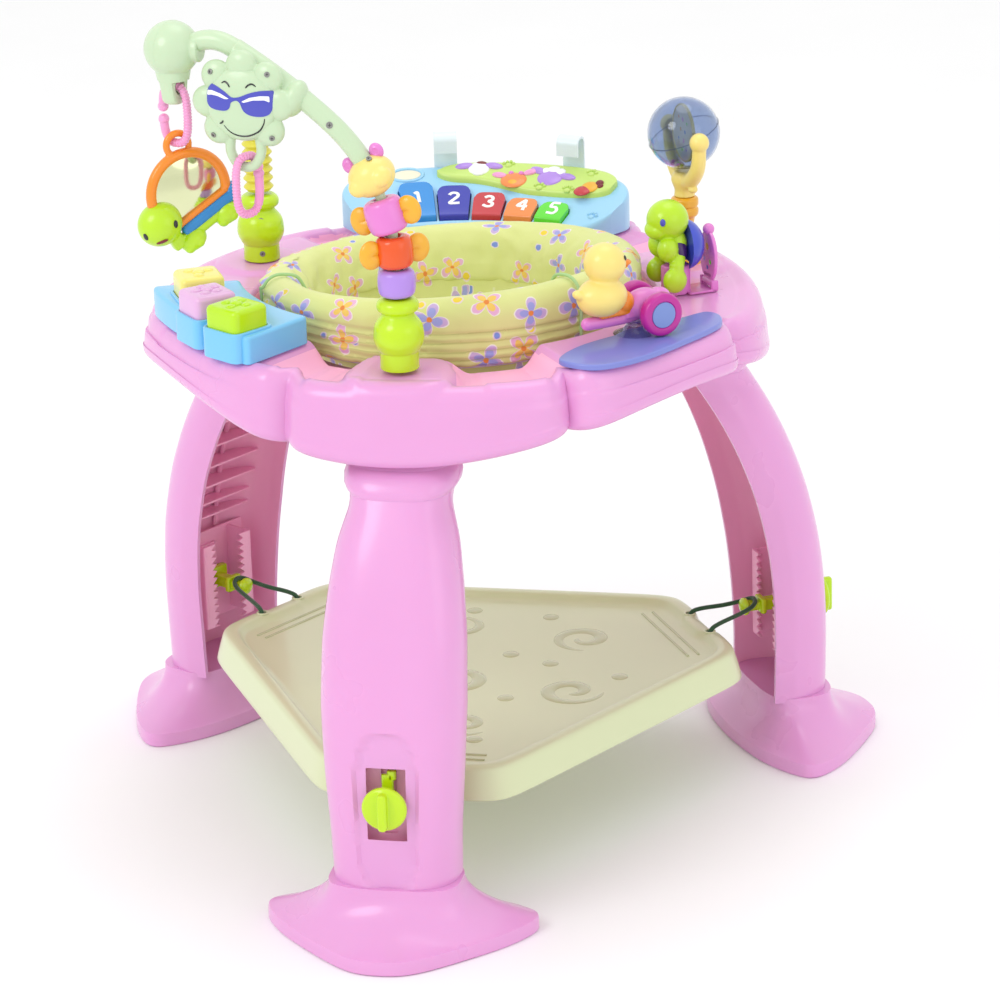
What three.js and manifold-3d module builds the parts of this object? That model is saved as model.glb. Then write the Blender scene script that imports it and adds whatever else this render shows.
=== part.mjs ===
// Activity jumper: a ring-shaped toy tray on three channel legs, with a swivelling padded seat in the
// middle, a bounce
// pad hung on elastic cords between the legs, and seven toy stations round the tray.
// Millimetres, +Z up. Everything is placed round the tripod's vertical axis, with the front leg at 270
// degrees.
// The whole group is moved at the end, so that the origin is the centre of its footprint box on the floor.
import * as THREE from "three";
import { mergeVertices } from "three/addons/utils/BufferGeometryUtils.js";
import Module from "manifold-3d";

const wasm = await Module();
wasm.setup();
const { PI, sin, cos, abs, min, max, pow, sqrt } = Math;

// ---------- driving dimensions ----------
const GAP = 0.3; // left between pieces that touch
const DETAIL = 0.45; // share of the full facet counts that round shapes are drawn with
const LEG_ANGLES = { front: 270, right: 30, left: 150 };

// Heights of the ends, radial depth, wall, points.
const LEG = { foot: 57.5, top: 470, depth: 71, wall: 4, corners: 5 };
const FOOT = { height: 57, lip: 15, wall: 4 };
// Height adjuster: slot in the leg's outer wall.
const SLOT = { width: 39, middle: 150, travel: 28, height: 74 };
const RACK = { thick: 3, slot: 15 }; // plate behind the slot, which guides the carriage

const TRAY = { opening: 160, well: 508, seatGap: 199, rim: 20, wall: 4, steps: 60 };
const RIM_HIGH = 547; // rim height over the side lobes
const RIM_LOW = 540; // rim height over the leg lobes
const FOLD_RADIUS = 291; // where two lobes of the outline meet
// Lobes of the outline: start angle, radius in the middle, extra radius at the corners, rim height.
const LOBES = [
  { from: 248.5, radius: 303, corner: 10, rim: RIM_LOW },
  { from: 303, radius: 312, corner: 8, rim: RIM_HIGH },
  { from: 346, radius: 313, corner: 6, rim: RIM_LOW },
  { from: 417, radius: 309, corner: 6, rim: RIM_HIGH },
  { from: 483, radius: 306, corner: 6, rim: RIM_LOW },
  { from: 554, radius: 302, corner: 14, rim: RIM_HIGH },
];
// Stretches where the deck stays low and leaves a well round the seat: start and end angles.
const WELLS = [[243, 257], [284, 302.5], [44, 56], [122, 137]];

const SEAT = { outer: 195, skirt: 523, top: 592, ringIn: 160, ringOut: 182, bowl: 372, cloth: 6 };
const LEG_HOLE = { radius: 46, x: 66, y: -58 };
const PAD = { side: 222, corner: 280, top: 140, bottom: 108, floor: 132, wall: 3.5 };
const CORD = { radius: 2.4, spread: 28 };

const POST = { radius: 257, foot: 548 }; // the front post's place and the height it stands at
const ARCH_HEADING = 172; // compass of the arch's plane, seen from above
const BALL = { radius: 27, along: 219, height: 851 };
const FLOWER = { along: 143, height: 805, petals: 8, petalReach: 33, loopDrop: 63, loopWire: 5 };
const LINK = { halfWidth: 14, halfHeight: 28.5, wire: 4.4 };

// ---------- helpers ----------
const rad = (degrees) => (degrees * PI) / 180;
const vec = (x, y, z) => new THREE.Vector3(x, y, z);
const mix = (a, b, t) => a + (b - a) * t;
const clamp01 = (t) => min(1, max(0, t));
const smooth = (t) => clamp01(t) ** 2 * (3 - 2 * clamp01(t));
const polar = (radius, degrees, z) => vec(radius * cos(rad(degrees)), radius * sin(rad(degrees)), z);
const loop = (count, make) => Array.from({ length: count }, (_, i) => make(i));
const facets = (count) => max(8, 2 * Math.round((count * DETAIL) / 2));
// Radius of a faceted bore that an eight-sided pin of this radius turns in freely.
const bore = (pin) => (pin + GAP) / cos(PI / 8);

// A closed geometry as a solid, its faces turned outwards whichever way the profile ran.
function toSolid(geometry) {
  const loose = geometry.index ? geometry.toNonIndexed() : geometry;
  const bare = new THREE.BufferGeometry().setAttribute("position", loose.getAttribute("position"));
  const merged = mergeVertices(bare, 1e-3);
  const points = merged.attributes.position;
  const triVerts = new Uint32Array(merged.index.array);
  const corner = (i) => vec().fromBufferAttribute(points, triVerts[i]);
  let volume = 0;
  for (let i = 0; i < triVerts.length; i += 3) volume += corner(i).dot(corner(i + 1).cross(corner(i + 2)));
  if (volume < 0)
    for (let i = 0; i < triVerts.length; i += 3)
      [triVerts[i + 1], triVerts[i + 2]] = [triVerts[i + 2], triVerts[i + 1]];
  return new wasm.Manifold(new wasm.Mesh({ numProp: 3, vertProperties: points.array, triVerts }));
}

// Places a geometry (turned by degrees about X, Y, Z, then moved) and makes it a solid.
function solid(geometry, at = [0, 0, 0], turn = [0, 0, 0], scale = [1, 1, 1]) {
  const spin = new THREE.Quaternion().setFromEuler(new THREE.Euler(...turn.map(rad), "ZYX"));
  return toSolid(geometry.clone().applyMatrix4(new THREE.Matrix4().compose(vec(...at), spin,
    vec(...scale))));
}

const join = (...solids) => solids.reduce((a, b) => a.add(b));
const cut = (whole, ...tools) => tools.reduce((a, b) => a.subtract(b), whole);

const box = (size, at, turn) => solid(new THREE.BoxGeometry(...size), at, turn);
const rod = (radius, length, at, turn, sides = 20, top = radius) =>
  solid(new THREE.CylinderGeometry(top, radius, length, facets(sides)).rotateX(PI / 2), at, turn);
const ball = (radius, at, scale, turn, sides = 18) =>
  solid(new THREE.SphereGeometry(radius, facets(sides), facets(sides) / 2).rotateX(PI / 2), at, turn,
    scale);

// A profile of [radius, height] points turned about Z. It closes on itself, or on the axis.
function lathe(profile, sides = 24, at, turn) {
  const points = profile.map(([r, z]) => new THREE.Vector2(r, z));
  if (profile[0][0] > 0) points.push(points[0].clone());
  return solid(new THREE.LatheGeometry(points, facets(sides)).rotateX(PI / 2), at, turn);
}

// A flat outline of [x, y] points, extruded along Z and rounded by a bevel.
function plate(outline, height, at, turn, bevel = 0) {
  const shape = new THREE.Shape(outline.map(([x, y]) => new THREE.Vector2(x, y)));
  const options = {
    depth: height - 2 * bevel,
    bevelEnabled: bevel > 0,
    bevelThickness: bevel,
    bevelSize: bevel,
    bevelOffset: -bevel,
    bevelSegments: 1,
  };
  return solid(new THREE.ExtrudeGeometry(shape, options).translate(0, 0, bevel), at, turn);
}

// A smooth closed outline through a few [x, y] points.
function smoothOutline(points, count) {
  const curve = new THREE.CatmullRomCurve3(points.map(([x, y]) => vec(x, y, 0)), true);
  return loop(count, (i) => curve.getPointAt(i / count)).map((p) => [p.x, p.y]);
}

// Skins a row of rings, each with the same number of points. An open row gets flat ends.
function loft(rings, closed = false) {
  const count = rings[0].length;
  const points = rings.flat();
  const faces = [];
  const rows = closed ? rings.length : rings.length - 1;
  for (let row = 0; row < rows; row++)
    for (let i = 0; i < count; i++) {
      const here = row * count;
      const next = ((row + 1) % rings.length) * count;
      const right = (i + 1) % count;
      faces.push(here + i, here + right, next + right, here + i, next + right, next + i);
    }
  if (!closed)
    for (const [ring, start, flip] of [[rings[0], 0, true],
      [rings.at(-1), (rings.length - 1) * count, false]])
      for (const [a, b, c] of flatTriangles(ring))
        faces.push(start + a, start + (flip ? c : b), start + (flip ? b : c));
  const geometry = new THREE.BufferGeometry().setFromPoints(points).setIndex(faces);
  return toSolid(geometry);
}

// Triangles of a flat ring, in the order of its points.
function flatTriangles(ring) {
  const normal = vec();
  ring.forEach((p, i) => normal.add(p.clone().cross(ring[(i + 1) % ring.length])));
  normal.normalize();
  const across = ring[1].clone().sub(ring[0]).projectOnPlane(normal).normalize();
  const up = normal.clone().cross(across);
  const flat = ring.map((p) => new THREE.Vector2(p.dot(across), p.dot(up)));
  return THREE.ShapeUtils.triangulateShape(flat, []);
}

// A round bar along a curve, its radius a function of the place along it from 0 to 1.
function bar(curve, radiusAt, fullSteps, fullSides = 10, closed = false) {
  const steps = facets(fullSteps);
  const sides = facets(fullSides);
  const frames = curve.computeFrenetFrames(steps, closed);
  const rings = loop(closed ? steps : steps + 1, (i) => {
    const centre = curve.getPointAt(i / steps);
    return loop(sides, (k) => {
      const around = (k * 2 * PI) / sides;
      const away = frames.normals[i].clone().multiplyScalar(cos(around));
      away.addScaledVector(frames.binormals[i], sin(around));
      return centre.clone().addScaledVector(away, radiusAt(i / steps));
    });
  });
  return loft(rings, closed);
}

const through = (points, closed = false) => new THREE.CatmullRomCurve3(points, closed, "centripetal");

// ---------- materials and pieces ----------
const plastic = (color, roughness = 0.4) => new THREE.MeshStandardMaterial({ color, roughness,
  metalness: 0 });
const PINK = 0xf3b0dc;
const LIME = 0xb5e11a;
const MINT = 0xd7e8bd;
const YELLOW = 0xf5dd7c;

const jumper = new THREE.Group();
const tripod = new THREE.Group(); // the tripod's axis is this group's Z axis
jumper.add(tripod);

function piece(name, shape, material, parent = tripod) {
  const { numProp, vertProperties, triVerts } = shape.getMesh();
  const points = loop(vertProperties.length / numProp,
    (i) => vec(...vertProperties.slice(i * numProp, i * numProp + 3)));
  const geometry = new THREE.BufferGeometry().setFromPoints(points);
  geometry.setIndex(new THREE.BufferAttribute(triVerts, 1));
  geometry.computeVertexNormals();
  const mesh = new THREE.Mesh(geometry, material);
  mesh.name = name;
  parent.add(mesh);
}

// A group at a place, turned about Z by degrees.
function station(x, y, z = 0, turn = 0, parent = tripod) {
  const group = new THREE.Group();
  group.position.set(x, y, z);
  group.rotation.z = rad(turn);
  parent.add(group);
  return group;
}

// ---------- legs and feet ----------
// Each leg is drawn as the front one, which reaches towards -Y, and turned to its place.
const innerRadius = (z) => {
  const u = z / 400;
  return 325.2 + 24.5 * u - 17.1 * u ** 2 - 71 * u ** 3;
};
const LEG_WIDTHS = [
  [55, 63], [110, 64.5], [170, 68.5], [235, 71.5], [300, 70.5], [345, 66], [385, 60], [410, 52], [422, 48],
  [438, 53],
  [480, 53],
];
function halfWidth(z) {
  const next = LEG_WIDTHS.findIndex(([height]) => height > z);
  const [[z0, w0], [z1, w1]] = [LEG_WIDTHS[next - 1], LEG_WIDTHS[next]];
  return mix(w0, w1, (z - z0) / (z1 - z0));
}

// Half of a leg's section at one height, from the open edge round to the middle of the outer face.
function legCurve(z, inset, count) {
  const inner = innerRadius(z);
  const across = halfWidth(z) - inset;
  const deep = LEG.depth - 18 - inset;
  const round = loop(count, (i) => {
    const angle = (i / (count - 1)) * (PI / 2);
    return [across * pow(cos(angle), 0.62), inner + 18 + deep * pow(sin(angle), 0.8)];
  });
  return [[across - 5, inner], ...round.slice(0, -1), [0, inner + 18 + deep]];
}

function legRing(z) {
  const outer = legCurve(z, 0, LEG.corners);
  const inside = legCurve(z, LEG.wall, LEG.corners);
  const mirrored = (half) => [...half, ...half.slice(0, -1).reverse().map(([x, r]) => [-x, r])];
  return [...mirrored(outer), ...mirrored(inside).reverse()].map(([x, r]) => vec(x, -r, z));
}

function legShape() {
  const heights = [LEG.foot, 120, 190, 260, 320, 360, 395, 412, 422, 434, LEG.top];
  let leg = loft(heights.map(legRing));
  const outside = loft([LEG.foot, 190, 300, 360, 395, 412, LEG.top].map((z) => solidRing(z)));
  const rib = (z) => outside.intersect(box([200, 60, 3], [0, -innerRadius(z) - 12 - 30, z]));
  const faceAt = innerRadius(SLOT.middle) + LEG.depth;
  const plateAt = faceAt - 22;
  const rack = outside.intersect(box([200, RACK.thick, 104], [0, -plateAt, SLOT.middle]));
  leg = join(leg, rack, ...[212, 270, 330, 385].map(rib));
  const window = box([SLOT.width, 30, SLOT.height], [0, -faceAt, SLOT.middle]);
  return cut(leg, window, box([RACK.slot, 30, SLOT.height], [0, -plateAt, SLOT.middle]));
}

// The leg's outer shape without its hollow.
function solidRing(z) {
  const half = legCurve(z, 1, LEG.corners);
  return [...half, ...half.slice(0, -1).reverse().map(([x, r]) => [-x, r])].map(([x, r]) => vec(x, -r, z));
}

const FOOT_OUTLINE = [
  [0, -298], [68, -304], [118, -322], [136, -342], [118, -378], [78, -420], [34, -456], [0, -464],
];
function footShape() {
  const mirrored = FOOT_OUTLINE.slice(1, -1).reverse().map(([x, y]) => [-x, y]);
  const base = smoothOutline([...FOOT_OUTLINE, ...mirrored], 24);
  const centre = -innerRadius(58) - LEG.depth / 2;
  // At each step the outline moves towards the leg's own section, which stands on the foot.
  const ring = (inset, share, z) =>
    base.map(([x, y]) => {
      const angle = Math.atan2(y - centre, x);
      const reach = pow(pow(abs(cos(angle)) / 64, 3) + pow(abs(sin(angle)) / 38, 3), -1 / 3) - inset;
      const far = sqrt(x ** 2 + (y - centre) ** 2) - inset;
      const radius = mix(far, reach, share);
      return vec(radius * cos(angle), centre + radius * sin(angle), z);
    });
  const w = FOOT.wall;
  return loft([
    ring(4, 1, FOOT.height), ring(0, 1, FOOT.height - 3), ring(0, 0.8, 42), ring(0, 0.5, 30),
    ring(0, 0.12, FOOT.lip + 5),
    ring(0, 0, FOOT.lip), ring(0, 0, 0), ring(w + 2, 0, 0), ring(w, 0.12, FOOT.lip), ring(w, 0.8, 37),
    ring(w, 1, FOOT.height - w - 3),
  ]);
}

// ---------- height adjusters, elastic cords ----------
const HOOK_RADIUS = 322; // distance of the hook's neck from the axis
function hookShape() {
  const inner = HOOK_RADIUS;
  const outer = innerRadius(SLOT.middle) + LEG.depth - 6;
  const z = SLOT.middle;
  const alongY = [90, 0, 0];
  return join(
    box([13, outer - inner - 12, 13], [0, -(outer + inner + 12) / 2, z]),
    box([34, 8, 22], [0, -(innerRadius(z) + LEG.depth - 32), z]),
    rod(4, 16, [0, -inner - 6, z], alongY, 14),
    ball(9, [0, -inner + 4, z], [1, 0.6, 1], [0, 0, 0], 14),
  );
}

function knobShape() {
  const face = innerRadius(SLOT.middle) + LEG.depth - 6 + GAP;
  const z = SLOT.middle;
  const profile = [[0, 0], [8.5, 0], [8.5, 7.5], [22, 7.5], [22, 12], [19, 14], [0, 14]];
  const disc = lathe(profile, 36, [0, -face, z], [90, 0, 0]);
  return join(disc, box([10, 12, 38], [0, -face - 16, z]));
}

// An elastic cord from one pad anchor, round the back of the hook's neck, to the other anchor.
function cordShape() {
  const r = HOOK_RADIUS;
  const z = SLOT.middle;
  const half = [vec(CORD.spread, -266, 126), vec(CORD.spread, -267, 140), vec(25, -277, 145),
    vec(17.5, -300, 148)];
  const turn = [vec(12.6, -r + 4, z + 1.5), vec(8, -r - 4.5, z + 5), vec(0, -r - 7, z + 7.4)];
  const mirror = [...half, ...turn.slice(0, -1)].reverse().map((p) => vec(-p.x, p.y, p.z));
  return bar(through([...half, ...turn, ...mirror]), () => CORD.radius, 56, 8);
}

for (const [side, angle] of Object.entries(LEG_ANGLES)) {
  const corner = station(0, 0, 0, angle - 270);
  piece("leg_" + side, legShape(), plastic(PINK), corner);
  piece("foot_" + side, footShape(), plastic(PINK), corner);
  piece("hook_" + side, hookShape(), plastic(LIME), corner);
  piece("knob_" + side, knobShape(), plastic(LIME), corner);
  piece("cord_" + side, cordShape(), plastic(0x2f5a35, 0.9), corner);
}

// ---------- bounce pad ----------
// Distance of the pad's edge from the axis: three long sides and three short blunt corners, rounded where
// they meet.
function padEdge(angle, inset) {
  const sharp = 24;
  const flat = (toward, distance) => pow(max(0, cos(rad(angle - toward))) / distance, sharp);
  const sides = [90, 210, 330].map((a) => flat(a, PAD.side - inset));
  const corners = [30, 150, 270].map((a) => flat(a, PAD.corner - inset));
  return pow([...sides, ...corners].reduce((a, b) => a + b), -1 / sharp);
}
function padShape() {
  const ring = (inset, z) => loop(48, (i) => polar(padEdge(i * 7.5, inset), i * 7.5, z));
  const t = PAD.wall;
  let pad = loft([
    ring(34, PAD.floor), ring(28, PAD.floor), ring(22, PAD.top), ring(10, PAD.top - 1.5), ring(5, 132),
    ring(0, PAD.bottom), ring(t, PAD.bottom), ring(t + 5, 130), ring(20, PAD.top - 5),
    ring(34, PAD.floor - t),
  ]);
  for (const angle of Object.values(LEG_ANGLES))
    for (const side of [-1, 1]) {
      const hole = vec(266, side * CORD.spread, 130).applyAxisAngle(vec(0, 0, 1), rad(angle));
      pad = cut(pad, rod(5, 40, hole.toArray(), [0, 0, 0], 14));
    }
  return pad;
}
piece("bounce_pad", padShape(), plastic(0xdcdcc0));

// ---------- tray ----------
// The lobe that holds an angle, and the place in it from 0 to 1.
function lobeAt(angle) {
  const turned = ((((angle - LOBES[0].from) % 360) + 360) % 360) + LOBES[0].from;
  const index = LOBES.findLastIndex((lobe) => lobe.from <= turned);
  const end = index + 1 < LOBES.length ? LOBES[index + 1].from : LOBES[0].from + 360;
  return { index, lobe: LOBES[index], place: (turned - LOBES[index].from) / (end - LOBES[index].from),
    turned, end };
}
function trayEdge(angle) {
  const { lobe, place } = lobeAt(angle);
  const u = abs(2 * place - 1);
  return mix(lobe.radius + lobe.corner * u ** 2, FOLD_RADIUS, u ** 9);
}
function rimHeight(angle) {
  const { index, lobe, turned, end } = lobeAt(angle);
  const before = LOBES[(index + LOBES.length - 1) % LOBES.length].rim;
  const after = LOBES[(index + 1) % LOBES.length].rim;
  const blend = 2.5; // degrees on each side of a fold
  const rising = smooth(0.5 + (turned - lobe.from) / (2 * blend));
  const falling = smooth(0.5 + (end - turned) / (2 * blend));
  return lobe.rim + (before - lobe.rim) * (1 - rising) + (after - lobe.rim) * (1 - falling);
}
const hemHeight = (angle) => 483 - 21 * cos(rad(3 * (angle - 270)));
function deckHeight(angle) {
  const soften = 2.5; // degrees over which a well's end rises
  const low = WELLS.map(([from, to]) => {
    const into = (((angle - from + 180) % 360) + 360) % 360 - 180;
    const left = (((to - angle + 180) % 360) + 360) % 360 - 180;
    return smooth(into / soften) * smooth(left / soften);
  });
  return mix(rimHeight(angle), TRAY.well + 2, max(...low));
}
function trayShape() {
  const t = TRAY.wall;
  const ring = (radiusOf, heightOf) =>
    loop(TRAY.steps, (i) => {
      const angle = (i * 360) / TRAY.steps;
      return polar(radiusOf(trayEdge(angle)), angle,
        heightOf(rimHeight(angle), deckHeight(angle), hemHeight(angle)));
    });
  return loft(
    [
      ring(() => TRAY.opening, () => TRAY.well),
      ring(() => TRAY.seatGap + 1, () => TRAY.well),
      ring(() => TRAY.seatGap + 8, (rim, deck) => deck - 2),
      ring(() => TRAY.seatGap + 12, (rim, deck) => deck),
      ring((r) => r - TRAY.rim - 8, (rim, deck) => deck),
      ring((r) => r - TRAY.rim, (rim) => rim - 1),
      ring((r) => r - 10, (rim) => rim),
      ring((r) => r - 2, (rim) => rim - 4),
      ring((r) => r + 2, (rim) => rim - 13),
      ring((r) => r + 7, (rim, deck, hem) => mix(rim, hem, 0.55)),
      ring((r) => r + 7, (rim, deck, hem) => hem + 12),
      ring((r) => r + 3, (rim, deck, hem) => hem),
      ring((r) => r + 7 - t, (rim, deck, hem) => hem + 13),
      ring((r) => r + 2 - t, (rim) => rim - 13),
      ring((r) => r - 12, (rim) => rim - t),
      ring((r) => r - TRAY.rim - 8, (rim, deck) => deck - t),
      ring(() => TRAY.seatGap + 12 + t, () => TRAY.well - t),
      ring(() => TRAY.opening + 6, () => TRAY.well - t),
      ring(() => TRAY.opening, () => TRAY.well - 12),
    ],
    true,
  );
}
// The swivelling seat's ring runs on this wall, which stands on the well's floor.
const RACE = { inner: 169, outer: 173, top: 556 - GAP };
function raceShape() {
  const foot = TRAY.well - 2;
  return lathe([[RACE.inner, foot], [RACE.outer, foot], [RACE.outer, RACE.top], [RACE.inner, RACE.top]],
    80);
}
piece("tray", join(trayShape(), raceShape()), plastic(PINK));

// ---------- seat ----------
const seatRingShape = lathe(
  [
    [SEAT.ringIn, 520], [163, 520], [163, 556], [179, 556], [179, 520], [SEAT.ringOut, 520],
    [SEAT.ringOut, 560],
    [SEAT.ringIn, 560],
  ], 80,
);
piece("seat_ring", seatRingShape, plastic(0xffffff));

function seatShape() {
  const shell = lathe(
    [
      [191, SEAT.skirt], [SEAT.outer, 545], [190, 578], [169, SEAT.top], [151, 580], [143, 520],
      [132, 460], [105, 405],
      [60, 379], [0, SEAT.bowl], [0, SEAT.bowl - SEAT.cloth], [62, 373], [110, 400], [138, 457],
      [149, 520], [157, 572],
      [186, 572], [186, SEAT.skirt],
    ], 72,
  );
  const hole = (side) => rod(LEG_HOLE.radius, 130, [side * LEG_HOLE.x, LEG_HOLE.y, 415], [0, 0, 0], 24);
  return cut(shell, hole(1), hole(-1));
}
piece("seat_fabric", seatShape(), plastic(0xe6ecae, 0.95));

// ---------- front post: the toy arch, threaded through three beads and a head ----------
const archDirection = polar(1, ARCH_HEADING, 0);
const frontPost = vec(0, -POST.radius, 0);
const onArch = (along, z) => frontPost.clone().addScaledVector(archDirection, along).setZ(z);
const ARCH_PATH = [
  [0, 566], [0, 600], [0, 640], [1, 668], [4, 688], [9, 704], [19, 734], [33, 757], [54, 781], [85, 807],
  [115, 829],
  [143, 847], [165, 859], [183, 861], [202, 855], [212, 852],
];
// The arch's curve in a group's own frame.
function archIn(group) {
  group.updateWorldMatrix(true, false);
  return through(ARCH_PATH.map(([s, z]) => group.worldToLocal(onArch(s, z))));
}
const TUBE = { thin: 5.2, thick: 9.6, change: 0.41, within: 0.025 };

// The tube is thin up to the middle of the head and thick from there to its end.
const tubeRadius = (t) => mix(TUBE.thin, TUBE.thick, smooth((t - TUBE.change) / TUBE.within));
const archTube = (group, radiusAt) => bar(archIn(group), radiusAt, 70, 16);
const thickRoom = () => bore(TUBE.thick);

const bulbProfile = [
  [0, 0], [19, 0], [18.5, 15], [20, 18], [23.5, 28], [22.5, 42], [16, 53], [15, 55], [18.5, 58],
  [19.5, 63], [17, 69],
  [12, 70.5], [0, 70.5],
];
const vaseShape = () => lathe(bulbProfile, 24);
const front = station(frontPost.x, frontPost.y, POST.foot);
piece("front_post", cut(vaseShape(), rod(bore(TUBE.thin), 60, [0, 0, 48], [0, 0, 0], 16)), plastic(LIME),
  front);
piece("arch_tube", archTube(tripod, tubeRadius), plastic(MINT));

// A bead's place on the arch: its centre and its lean in degrees. Wings are turned from the arch's plane by
// degrees.
const BORE = 7.5;
const BEADS = {
  bead_purple: { along: 0, height: 633.5, lean: 0, radius: 18.4, tall: 27.5, color: 0xc29be4 },
  bead_orange: { along: 1, height: 664, lean: 3, radius: 18.2, tall: 31, color: 0xf0591c, wings: 40 },
  bead_pink: { along: 8.4, height: 699, lean: 17, radius: 19.6, tall: 34, color: 0xe78cd6, wings: 0 },
};
function beadPlace({ along, height, lean }, twist = 0) {
  const group = new THREE.Group();
  group.position.copy(onArch(along, height));
  const leaning = new THREE.Quaternion().setFromAxisAngle(vec(0, 0, 1).cross(archDirection), rad(lean));
  const turned = new THREE.Quaternion().setFromAxisAngle(vec(0, 0, 1), rad(ARCH_HEADING - 180 + twist));
  group.quaternion.copy(leaning.multiply(turned));
  group.updateMatrix();
  return group;
}
function beadShape({ radius, tall }) {
  const h = tall / 2;
  const lower = [[BORE, -h], [radius * 0.72, -h], [radius * 0.95, -h * 0.7], [radius, -h * 0.2]];
  const profile = [...lower, ...lower.toReversed().map(([r, z]) => [r, -z])];
  return lathe(profile, 22);
}
// A winged bead carries two ears on a strip through its waist.
function wingedBeadShape(bead) {
  const ear = (side) => ball(10.5, [side * (bead.radius + 7), 0, 0], [1, 0.55, 1.15], [0, 0, 0], 12);
  const strip = cut(box([2 * bead.radius + 8, 18, 9]), rod(BORE, 40, [0, 0, 0], [0, 0, 0], 24));
  return join(beadShape(bead), strip, ear(1), ear(-1));
}
for (const [name, bead] of Object.entries(BEADS)) {
  const place = beadPlace(bead, bead.wings);
  tripod.add(place);
  piece(name, bead.wings === undefined ? beadShape(bead) : wingedBeadShape(bead),
    plastic(bead.color, 0.25), place);
}

const HEAD = { along: 21, height: 737, lean: 30 };
const headPlace = beadPlace(HEAD);
tripod.add(headPlace);
function headShape() {
  const skull = ball(22.5, [0, 0, 0], [1.05, 1, 0.88], [0, 0, 0], 22);
  const snout = ball(10, [6, -18, -4], [1.2, 0.8, 0.8], [0, 0, 0], 14);
  const ear = (side) => ball(6.5, [side * 15.5, 3, 18.5], [1, 0.7, 1.1], [0, 0, 0], 12);
  return cut(join(skull, snout, ear(1), ear(-1)), archTube(headPlace, (t) => bore(tubeRadius(t))));
}
piece("worm_head", headShape(), plastic(YELLOW), headPlace);

// ---------- arch: end ball, flower, links, hanging turtle ----------
const ballGroup = station(...onArch(BALL.along, BALL.height).toArray(), ARCH_HEADING - 180);
// Hole in the ball's neck that the link hangs in; hang is how far the link's top bend is below the ball's
// centre.
const EYE = { radius: 8.2, drop: 37, halfThick: 7, hang: 35.9 };
const EYE_TURN = -20 - (ARCH_HEADING - 180); // compass of the eye's bore, in the ball's own frame
function endBallShape() {
  const socket = lathe([[0, -54], [9, -53.5], [12.2, -50], [13.5, -40], [17.5, -22], [17.5, -10],
    [0, -10]], 24);
  const collar = rod(12, 10, [25, 0, 1], [0, 90, 0], 20);
  const body = join(ball(BALL.radius, [0, 0, 0], [1, 1, 1], [0, 0, 0], 28), socket, collar);
  const eye = rod(EYE.radius, 60, [0, 0, -EYE.drop], [90, 0, EYE_TURN + 90], 16);
  const flat = (side) => {
    const at = polar(side * (EYE.halfThick + 10), EYE_TURN, -47);
    return box([20, 60, 34], at.toArray(), [0, 0, EYE_TURN]);
  };
  return cut(body, archTube(ballGroup, thickRoom), flat(1), flat(-1), eye);
}
piece("arch_ball", endBallShape(), plastic(MINT), ballGroup);

// A smiling flower clamped to the tube. The loop below it takes the place of its lowest petal.
const flowerGroup = station(...onArch(FLOWER.along, FLOWER.height).toArray(), ARCH_HEADING - 180);
function flowerShape() {
  const loopDepth = -12;
  const lowest = FLOWER.petals / 2;
  const petals = loop(FLOWER.petals, (i) => {
    const angle = rad(90 + (i * 360) / FLOWER.petals);
    const at = [FLOWER.petalReach * cos(angle), -13, FLOWER.petalReach * sin(angle)];
    return ball(15.5, at, [1, 0.5, 1], [0, 0, 0], 14);
  }).filter((_, i) => i !== lowest);
  const disc = lathe([[0, -6], [35, -6], [37, 0], [34, 7], [20, 12], [0, 13.5]], 30, [0, -14, 0],
    [90, 0, 0]);
  const saddle = bar(archIn(flowerGroup), () => 14, 40, 16).intersect(box([94, 60, 90], [5, 0, 28]));
  const loopPoints = [
    [-15, -34], [-15.5, -50], [-8, 2 - FLOWER.loopDrop], [0, -FLOWER.loopDrop], [8, 2 - FLOWER.loopDrop],
    [15.5, -50],
    [15, -34],
  ];
  const hoop = bar(through(loopPoints.map(([x, z]) => vec(x, loopDepth, z))), () => FLOWER.loopWire, 16,
    10);
  const body = join(disc, ...petals, saddle, box([40, 16, 40], [2, -10, 20]), hoop);
  return cut(body, archTube(flowerGroup, thickRoom));
}
piece("flower", flowerShape(), plastic(MINT), flowerGroup);

// A C-shaped link in its own XZ plane, hanging from its top; its mouth is on the -X side.
function linkShape(mouth) {
  const { halfWidth, halfHeight, wire } = LINK;
  const opening = 0.12;
  const squared = (value) => Math.sign(value) * pow(abs(value), 0.71); // squarer than an ellipse
  const path = loop(25, (i) => {
    const angle = mouth + opening + (i / 24) * (2 * PI - 2 * opening);
    return vec(halfWidth * squared(cos(angle)), 0, halfHeight * squared(sin(angle)));
  });
  return join(
    bar(through(path), () => wire, 44, 10), ball(wire + 1, path[0].toArray(), [1, 1, 1], [0, 0, 0], 10),
    ball(wire + 1, path.at(-1).toArray(), [1, 1, 1], [0, 0, 0], 10),
  );
}
const ballLink = station(...onArch(BALL.along, BALL.height - EYE.hang - LINK.halfHeight).toArray(), -20);
piece("link_ball", linkShape(PI), plastic(0xf2a9d4), ballLink);
const loopAt = onArch(FLOWER.along, FLOWER.height - FLOWER.loopDrop).add(polar(12, ARCH_HEADING + 90, 0));
// From the loop's bend to the link's middle.
const hung = FLOWER.loopWire + LINK.wire + 4 * GAP - LINK.halfHeight;
const flowerLink = station(loopAt.x, loopAt.y, loopAt.z + hung, ARCH_HEADING + 60);
piece("link_flower", linkShape(0.9 * PI), plastic(0xf2a9d4), flowerLink);

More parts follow.
